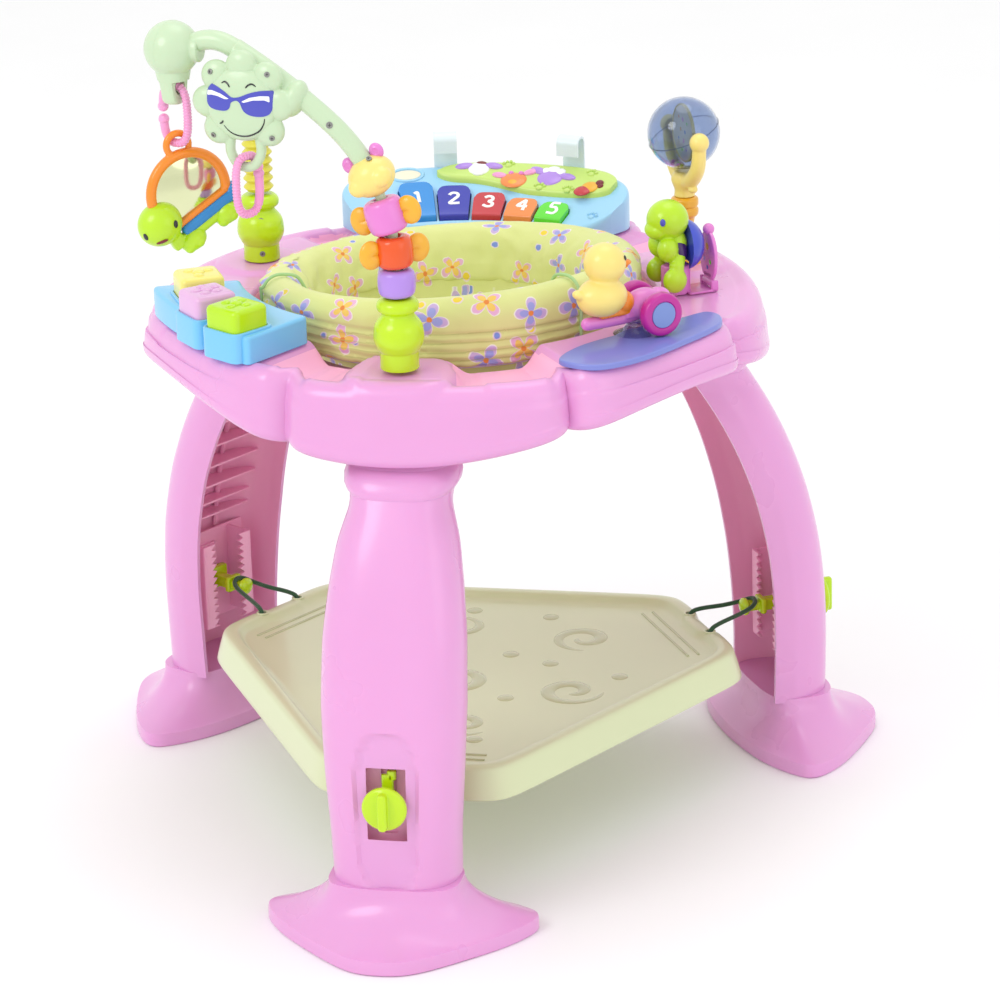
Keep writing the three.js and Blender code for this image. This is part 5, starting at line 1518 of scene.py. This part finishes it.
def car_body():
    hull = [blob(20, (10, 0, 28), (1.1, 0.74, 0.78)), blob(13, (26, 0, 32), (1, 0.85, 0.75)),
            block((26, 17, 16), (-2, 0, 24), bevel=3)]
    beam = tube(spline([(-54, 0, 18), (-30, 0, 17.4), (-6, 0, 18), (12, 0, 22)], 8), 6.4, 20)
    return joined(fused(joined(*hull, beam, blob(6.4, (-54, 0, 18))), 0.9, 5),
                  moved(lathe([(0, -29), (3, -29), (3, 29), (0, 29)], 20), (15, 0, 22.4), (90, 0, 0)))


def duck_body():
    rump = blob(21.4, (-37, 0, 43), (1.22, 1, 0.93), steps=48)
    tail = blob(9, (-60, 0, 48), (1.1, 0.8, 0.6), (0, 20, 0))
    neck = blob(14.5, (-34, 0, 60), (1, 1, 0.8))
    head = blob(20.8, (-33, 0, 76), (1, 1, 0.98), steps=48)
    return fused(joined(rump, tail, neck, head), 1.0, 5)


piece("car_skin", placed(car_body(), CAR), ROSE, "duck_car", "duck_vehicle")
piece("duck_skin", placed(duck_body(), CAR), YELLOW, "duck_car", "duck", sharp=60)
beak = joined(blob(6.5, (-12.5, 0, 73.5), (1.3, 1.15, 0.5)), blob(5.8, (-13.5, 0, 70.5), (1.1, 1, 0.42)))
piece("duck_beak", placed(beak, CAR), ORANGE, "duck_car")
saddle = fused(joined(blob(13, (-14, 0, 34), (0.9, 0.95, 0.9)),
                      block((34, 18, 7), (-26, 0, 25.5), bevel=2)), 0.9, 4)
piece("duck_seat", placed(saddle, CAR), ORANGE, "duck_car")
for side in (-1, 1):
    eye = placed(blob(2.6, scale=(1, 1, 0.4), steps=20),
                 facing((-17.5, side * 13, 82), (0.72, side * 0.62, 0.3)))
    piece(f"duck_eye_{side + 1}", placed(eye, CAR), PAINT_BLACK, "duck_car")
tyre = lathe(rounded([(3.3, -5), (13, -5), (14, -6.4, 1), (21, -6.4, 4.5), (22, 0, 3), (21, 6.4, 4.5),
                      (14, 6.4, 1), (13, 5),
                      (3.3, 5)], 0.5, 5, closed=True), 56, closed=True)
cap = vase([(0, -6.2), (12.8, -6.2, 0.8), (13, -5, 0.5), (13, 5, 0.5), (12.8, 6.2, 0.8), (0, 6.2)], 0.5, 48)
for name, side in (("near", -1), ("far", 1)):
    place = CAR @ Matrix.Translation((15, side * 24, 22.4)) @ Matrix.Rotation(PI / 2, 4, "X")
    piece(f"tyre_{name}", placed(tyre, place), MAGENTA, name + "_wheel", "wheel_" + name)
    piece(f"hub_{name}", placed(cap, place), HUB, name + "_wheel")

# ---------- globe on its spindle ----------
RIGHT = (221.70, 128, 543)
FORK = Matrix.Translation(RIGHT) @ Matrix.Rotation(math.radians(299), 4, "Z")
spindle = vase([(0, 0), (18, 0, 1), (16.5, 8, 4), (10.4, 26, 6), (8.6, 40, 6), (10.4, 49, 3),
                (14.2, 52, 2.4), (14.2, 58, 2.4),
                (12.4, 60, 1), (14.2, 62, 2.4), (14.2, 69, 2.4), (11, 71), (3.8, 71), (3.8, 82),
                (0, 82)], 0.4)
piece("spindle_skin", moved(spindle, RIGHT), GOLD, "stand", "globe_spindle")


def fork_shape():
    cup = lathe(rounded([(4.4, 71.3), (11, 71.3, 1), (10, 78, 3), (14.5, 90, 6), (11, 98, 5),
                         (0.1, 98, 0), (0.1, 84, 0),
                         (4.4, 84, 0)], 1, 5, closed=True), 40, closed=True)
    arms = []
    for side in (-1, 1):
        line = spline([(side * x, 0, z) for x, z in ((3, 88), (22, 94), (40, 112), (44.3, 138))], 10)
        arms.append(tube(line, lambda t: mix(9, 7, t), 20))
        arms.append(blob(10.2, (side * 44.3, 0, 138)))
        arms.append(blob(5, (side * 24, 0, 84), (1.2, 1, 0.8)))
    body = fused(joined(cup, *arms), 0.9, 5)
    body = carved(body, blob(38, (0, 0, 138), steps=64))
    pins = [moved(lathe([(0, -6), (3, -6), (3, 6), (0, 6)], 20), (side * 37.3, 0, 138), (0, 90, 0))
            for side in (-1, 1)]
    return joined(body, *pins)


piece("fork_skin", placed(fork_shape(), FORK), YELLOW, "fork", "globe_fork", sharp=60)
GLOBE = FORK @ Matrix.Translation((0, 0, 138))
sphere = joined(blob(37.3, steps=72), (blob(35.6, steps=72)[0], [f[::-1] for f in blob(35.6, steps=72)[1]],
                                       blob(1, steps=72)[2]))
piece("globe_skin", placed(sphere, GLOBE), CLEAR, "globe", "globe_shell")
belt = lathe(rounded([(36.9, -0.7), (37.9, -0.5), (37.9, 0.5), (36.9, 0.7)], 0.2, 2, closed=True),
             96, closed=True)
piece("globe_belt", placed(moved(belt, turn=(20, 0, 0)), GLOBE), CLEAR, "globe")
rim = lathe(rounded([(28.4, -1.7), (30.4, -1.7), (30.4, 1.7), (28.4, 1.7)], 0.8, 4, closed=True),
            64, closed=True)
card = vase([(0, -1), (28.6, -1), (28.6, 1), (0, 1)], 0.2, 64)
piece("disc_rim", placed(moved(rim, turn=(90, 0, 0)), GLOBE), YELLOW, "globe", "globe_disc")
piece("disc_face", placed(moved(card, turn=(90, 0, 0)), GLOBE), CARD, "globe")
PRINTS = [(0, 14, 4, ROSE), (6, 2, 3.4, BLUE), (-6, 3, 3.4, GOLD), (2, -8, 4.2, LINK_PINK),
          (-3, -18, 3, KEY_GREEN),
          (9, -16, 2.6, PURPLE), (-12, -8, 2.8, BLUE), (12, 12, 2.6, KEY_GREEN), (-11, 15, 2.8, KEY_ORANGE)]
for i, (x, z, size, paint) in enumerate(PRINTS):
    mark = blob(size, (x, 0, z), (1, 1.35 / size, 1), steps=20)
    piece(f"disc_print_{i}", placed(mark, GLOBE), paint, "globe")
for i, (x, y, z, paint) in enumerate([(4, -8, -33, ROSE), (-4, -5, -33.6, KEY_GREEN), (9, -6, -32, KEY_GREEN),
                                      (0, -13, -32, MAGENTA), (-9, -9, -32, ROSE), (3, -3, -33.8, BLUE)]):
    piece(f"globe_bead_{i}", placed(blob(2.1, (x, y, z * 0.99), steps=16), GLOBE), paint, "globe")

# ---------- sitting turtle ----------
SITTER = Matrix.Translation((226, 28, 541)) @ Matrix.Rotation(math.radians(212), 4, "Z")


def octagon(wide, deep):
    return [(wide * math.cos(math.radians(a)), deep * math.sin(math.radians(a)))
            for a in np.arange(22.5, 360, 45)]


perch = joined(slab(octagon(15.4, 11.3), 0, 30.4, 2.5, 4), block((32, 30, 2.4), (-25, 0, 1), bevel=0.6),
               block((8, 4, 11), (-37, 13, 5.5), bevel=1), block((8, 4, 11), (-37, -13, 5.5), bevel=1),
               moved(lathe([(0, -15), (3, -15), (3, 15), (0, 15)], 20), (0, 0, 27), (90, 0, 0)),
               moved(lathe([(0, -14), (2, -14), (2, 14), (0, 14)], 20), (-37, 0, 7), (90, 0, 0)))
piece("perch_skin", placed(perch, SITTER), ROSE, "stand", "turtle_perch")


def sitter_body():
    """A big round head with a blunt muzzle, hands held together under the chin, legs astride the perch."""
    lumps = [blob(21, (8, 0, 78), (1.02, 1, 0.98), steps=48), blob(12.5, (20, 0, 69), (0.95, 1.2, 0.78)),
             blob(16, (0, 0, 53), (0.7, 1, 1))]
    for side in (-1, 1):
        lumps.append(blob(11.5, (13, side * 11.5, 50), (0.95, 0.98, 1.15)))
        lumps.append(tube([(2, side * 12, 42), (7, side * 19, 33), (8, side * 21.5, 24)], 7.6, 16))
        lumps.append(blob(11.4, (10, side * 21.5, 20), (1.1, 0.8, 1.15)))
    return carved(fused(joined(*lumps), 0.9, 3), block((38, 25, 64), (0, 0, 0), bevel=1))


piece("sitter_skin", placed(sitter_body(), SITTER), TURTLE, "sitting_turtle",
      "turtle_sitter", sharp=60)
dome = carved(blob(26.4, (-8, 0, 50), (0.82, 0.96, 1), steps=48),
              block((60, 80, 90), (20.6, 0, 50), bevel=0.1),
              block((38, 25, 70), (0, 0, 0), bevel=0.5))
piece("sitter_dome", placed(dome, SITTER), SHELL_BLUE, "sitting_turtle", "turtle_shell")
belly = carved(blob(18.5, (1, 0, 46), (0.62, 1.05, 0.95), steps=40),
               block((42, 28, 67), (0, 0, 0), bevel=0.5))
piece("sitter_belly", placed(belly, SITTER), DARK_PURPLE, "sitting_turtle")
for side in (-1, 1):
    toward = Vector((0.58, side * 0.80, 0.12)).normalized()
    at = Vector((8, 0, 78)) + Vector((toward.x * 21.4, toward.y * 21, toward.z * 20.6))
    eye = placed(blob(3.6, scale=(0.8, 1.1, 0.5), steps=20), facing(at, toward))
    piece(f"sitter_eye_{side + 1}", placed(eye, SITTER), PAINT_INDIGO, "sitting_turtle")


def page_leaf():
    outline = [(19 * math.cos(a), 27 * math.sin(a)) for a in np.linspace(0, 2 * PI, 48, endpoint=False)]
    leaf = moved(slab(outline, -2, 2, 1.2, 4, under=1.2), (0, 0, 34), (90, 0, 90))
    leaf = carved(leaf, block((20, 60, 26), (0, 0, 0), bevel=0.1))
    foot = moved(lathe(rounded([(2.3, -10.4), (4, -10.4), (4, 10.4), (2.3, 10.4)], 0.6, 3, closed=True),
                       24, closed=True),
                 (0, 0, 7), (90, 0, 0))
    return joined(leaf, foot, block((4, 20, 9), (0, 0, 12.5), bevel=0.8), blob(6, (0, 0, 62)))


PAGE = SITTER @ Matrix.Translation((-37, 0, 0))
piece("page_skin", placed(page_leaf(), PAGE), ROSE, "page", "turtle_page")
for i, (y, z, size, paint) in enumerate([(0, 44, 8, GOLD), (-7, 30, 6, PURPLE), (7, 29, 6, KEY_GREEN),
                                         (0, 22, 5, SHELL_BLUE)]):
    piece(f"page_print_{i}", placed(blob(size, (0, y, z), (2.3 / size, 1, 1), steps=24), PAGE), paint,
          "page")

# ---------- piano ----------
PIANO = {"inner": 207, "slope": 0.43, "low": 556, "back": 301, "from": 57, "to": 127, "floor": 547.4}


def slope_top(radius):
    return PIANO["low"] + (radius - PIANO["inner"]) * PIANO["slope"]


def sloped(angles, inner_at, outer_at, above, bottom_at, soft=3.0):
    """A slab on the sloping top whose inner and outer radius follow the angle, its upper edges rounded."""
    rings = []
    for angle in angles:
        r0, r1 = inner_at(angle), outer_at(angle)
        corners = [(r0, bottom_at(r0), 0), (r0, slope_top(r0) + above, soft),
                   (r1, slope_top(r1) + above, soft * 1.5), (r1, bottom_at(r1), 0)]
        edge = rounded(corners, soft, 5)
        middle = len(edge) // 2
        across = [tuple(mix(edge[middle - 1], edge[middle], t)) for t in (0.25, 0.5, 0.75)]
        rings.append([polar(r, angle, z) for r, z in [*edge[:middle], *across, *edge[middle:]]])
    return skin(rings)


def round_end(angle, start, end, reach):
    u = abs(2 * (angle - start) / (end - start) - 1)
    return reach * (1 - math.sqrt(max(0, 1 - u**7)))


def eased(start, end, count):
    """Angles crowded towards both ends, where the outline turns."""
    return [mix(start, end, 0.5 - 0.5 * math.cos(PI * i / (count - 1))) for i in range(count)]


KEYS = [(109.5, 268, KEY_BLUE), (100.3, 260, KEY_INDIGO), (91.1, 249, KEY_RED), (81.9, 242, KEY_ORANGE),
        (72.7, 240, KEY_GREEN)]


def key_shape(angle, outer, grow=0.0, above=6.0, below=6.0, soft=2.2):
    """A wedge-shaped key, its outer end rounded. grow makes the pocket that it sits in."""
    half = 4.1 + grow * 0.24
    span = np.linspace(angle - half, angle + half, 14)

    def rim(a):
        return outer + grow - 9 * (abs(a - angle) / half) ** 6

    return sloped(span, lambda a: 213 - grow, rim, above, lambda r: slope_top(r) - below, soft)


def panel_inner(a):
    return mix(mix(246, 262, smooth((a - 80) / 18)), 250, smooth((76 - a) / 12)) + 7


def panel_shape(grow=0.0, above=7.0, below=3.0, soft=4.0):
    """The raised panel beyond the keys."""
    span = eased(62 - grow * 0.22, 104 + grow * 0.22, 60)

    def inner(a):
        return panel_inner(a) + round_end(a, 61.5, 104.5, 20) - grow

    def outer(a):
        return 295 - round_end(a, 61.5, 104.5, 22) + grow

    return sloped(span, inner, outer, above, lambda r: slope_top(r) - below, soft)


def piano_shape():
    """The piano's body: a sloping slab across the back of the tray with rounded ends."""
    start, end = PIANO["from"] - 0.2, PIANO["to"] + 0.2

    def inner(a):
        return PIANO["inner"] + round_end(a, start, end, 44)

    def outer(a):
        return PIANO["back"] - round_end(a, start, end, 46)

    return sloped(eased(PIANO["from"], PIANO["to"], 90), inner, outer, 0, lambda r: PIANO["floor"], 6)
pockets = [key_shape(a, outer, 0.9, 30, 9.8, 0.2) for a, outer, _ in KEYS]
piece("piano_skin", carved(piano_shape(), *pockets), PALE_SKY, "stand", "piano_body")
piece("panel_skin", panel_shape(), PANEL_GREEN, "stand", "piano_panel")


def on_slope(radius, degrees, lift=0.0):
    """A matrix on the sloping top: X to the right and Y up the slope, as seen from the front leg."""
    out = Vector(polar(1, degrees))
    up = (out + Vector((0, 0, PIANO["slope"]))).normalized()
    right = out.cross(Vector((0, 0, 1)))
    return basis(polar(radius, degrees, slope_top(radius) + lift), right, right.cross(up))


def figure(name, radius, degrees, blobs, lift=7.0, body="stand"):
    """Low raised lumps on the slope: (x, y, size, stretch, turn, paint)."""
    for i, (x, y, size, stretch, turn, paint) in enumerate(blobs):
        lump = blob(size, (x, y, 0.3 * (i % 3)), (stretch, 1, 2.6 / size), (0, 0, turn), steps=28)
        piece(f"{name}_{i}", placed(lump, on_slope(radius, degrees, lift)), paint, body)


figure("dog", 284, 94.8, [(0, -2, 10.5, 1.1, 0, PAINT_WHITE), (-16, 2, 5, 2.0, 12, PURPLE),
                          (16, 2, 5, 2.0, -12, PURPLE),
                          (2, 6, 4, 1.6, 0, DARK_RED), (0, -8, 6, 1.2, 0, PAINT_WHITE)])
figure("cow", 268, 86.3, [(0, -3, 12.5, 1.15, 0, KEY_ORANGE), (-17, 4, 4.5, 1.9, -8, LINK_PINK),
                          (16, 11, 4.5, 1.9, 25, LINK_PINK),
                          (0, -6, 8, 1.3, 0, GOLD), (-5, 8, 3, 1, 0, ROSE), (6, 8, 3, 1, 0, ROSE)])
figure("sheep", 276, 78.0, [(0, -4, 13, 1.1, 0, PURPLE), (-17, 6, 5, 2, -20, PURPLE),
                            (19, -1, 5, 2, -12, PURPLE),
                            (0, 8, 7, 1.2, 0, PAINT_WHITE), (-8, 6, 5, 1, 0, PAINT_WHITE),
                            (9, 6, 5.5, 1, 0, PAINT_WHITE)])
figure("hen", 265, 67.1, [(0, 0, 9, 1.1, 0, GOLD), (-5, -8, 8, 1.2, 10, KEY_RED), (8, 8, 4.5, 1, 0, DARK_RED),
                          (11, 4, 3.5, 1, 0, DARK_RED)])


def paw(name, radius, degrees, paint, lift):
    pads = [(0, 0, 3.4, 1.2, 0, paint)]
    for k in range(4):
        x, y, _ = polar(6, 30 + 40 * k)
        pads.append((x, y, 1.9, 1, 0, paint))
    figure(name, radius, degrees, pads, lift)


for i, (radius, degrees) in enumerate([(256, 79.4), (256, 72.1), (284, 69.1), (288, 88.5)]):
    paw(f"paw_{i}", radius, degrees, PANEL_GREEN, 6.6)
paw("paw_body", 232, 61.5, PALE_SKY, -0.4)


def oval(half_wide, half_high, count):
    turns = np.linspace(0, 2 * PI, count, endpoint=False)
    return [(half_wide * math.cos(a), half_high * math.sin(a)) for a in turns]


LABEL = on_slope(286, 110.5)
piece("label_card", placed(slab(oval(15, 8, 40), -1, 0.8, 0.4), LABEL), CARD, "stand")
ring = tube([(x, y, 0) for x, y in oval(17.5, 10.5, 48)], 1.8, 10, True)
piece("label_rim", placed(ring, LABEL), PALE_SKY, "stand")

DIGITS = [
    [(-3, 6), (1, 9), (1, -9)],
    [(-5, 5), (-2, 9), (4, 8), (5, 3), (-5, -8), (-4, -9), (6, -8.5)],
    [(-5, 6), (-1, 9), (4, 7), (4, 2), (-1, 0), (5, -3), (4, -8), (-1, -9), (-5.5, -6)],
    [(3, -9), (3, 9), (-5.5, -2), (6.5, -2)],
    [(5, 9), (-4, 9), (-4.5, 1.5), (2, 2.5), (5.5, -3), (3, -8.5), (-5, -7.5)],
]
for number, (angle, outer, paint) in enumerate(KEYS, 1):
    name = f"key_{number}"
    piece(name + "_skin", key_shape(angle, outer), paint, f"piano_key_{number}",
          name)
    line = rounded([(x, y, 2.5) for x, y in DIGITS[number - 1]], 2.5, 5)
    digit = tube([(x, y, 0) for x, y in evenly([(x, y, 0) for x, y in line], 40)[:, :2]], 1.9, 10)
    place = on_slope((213 + outer) / 2 + 2, angle, 6.0)
    piece(name + "_digit", placed(moved(digit, scale=(1, 1, 0.5)), place), PAINT_WHITE,
          f"piano_key_{number}")


def strap(angle):
    """A flat band that rises behind the piano and hooks forwards over its back edge."""
    line = rounded([(302.9, 549), (302.9, 627), (299, 631.6), (290.5, 631.6), (286.4, 627), (286.4, 612)],
                   4, 6)
    rings = []
    for i, (r, z) in enumerate(line):
        before, after = line[max(i - 1, 0)], line[min(i + 1, len(line) - 1)]
        way = (after - before) / np.linalg.norm(after - before)
        out = np.array([way[1], -way[0]]) * 1.2
        ring = []
        for side, edge in ((-12.4, 1), (12.4, 1), (12.4, -1), (-12.4, -1)):
            ring.append((r + out[0] * edge, side, z + out[1] * edge))
        rings.append(ring)
    return moved(skin(rings), turn=(0, 0, angle))


clamp = tube([polar(304, a, 551) for a in np.linspace(72, 104, 20)], 1.2, 8)
piece("strap_skin", joined(strap(102), strap(75), clamp), WHITE, "stand", "piano_straps")
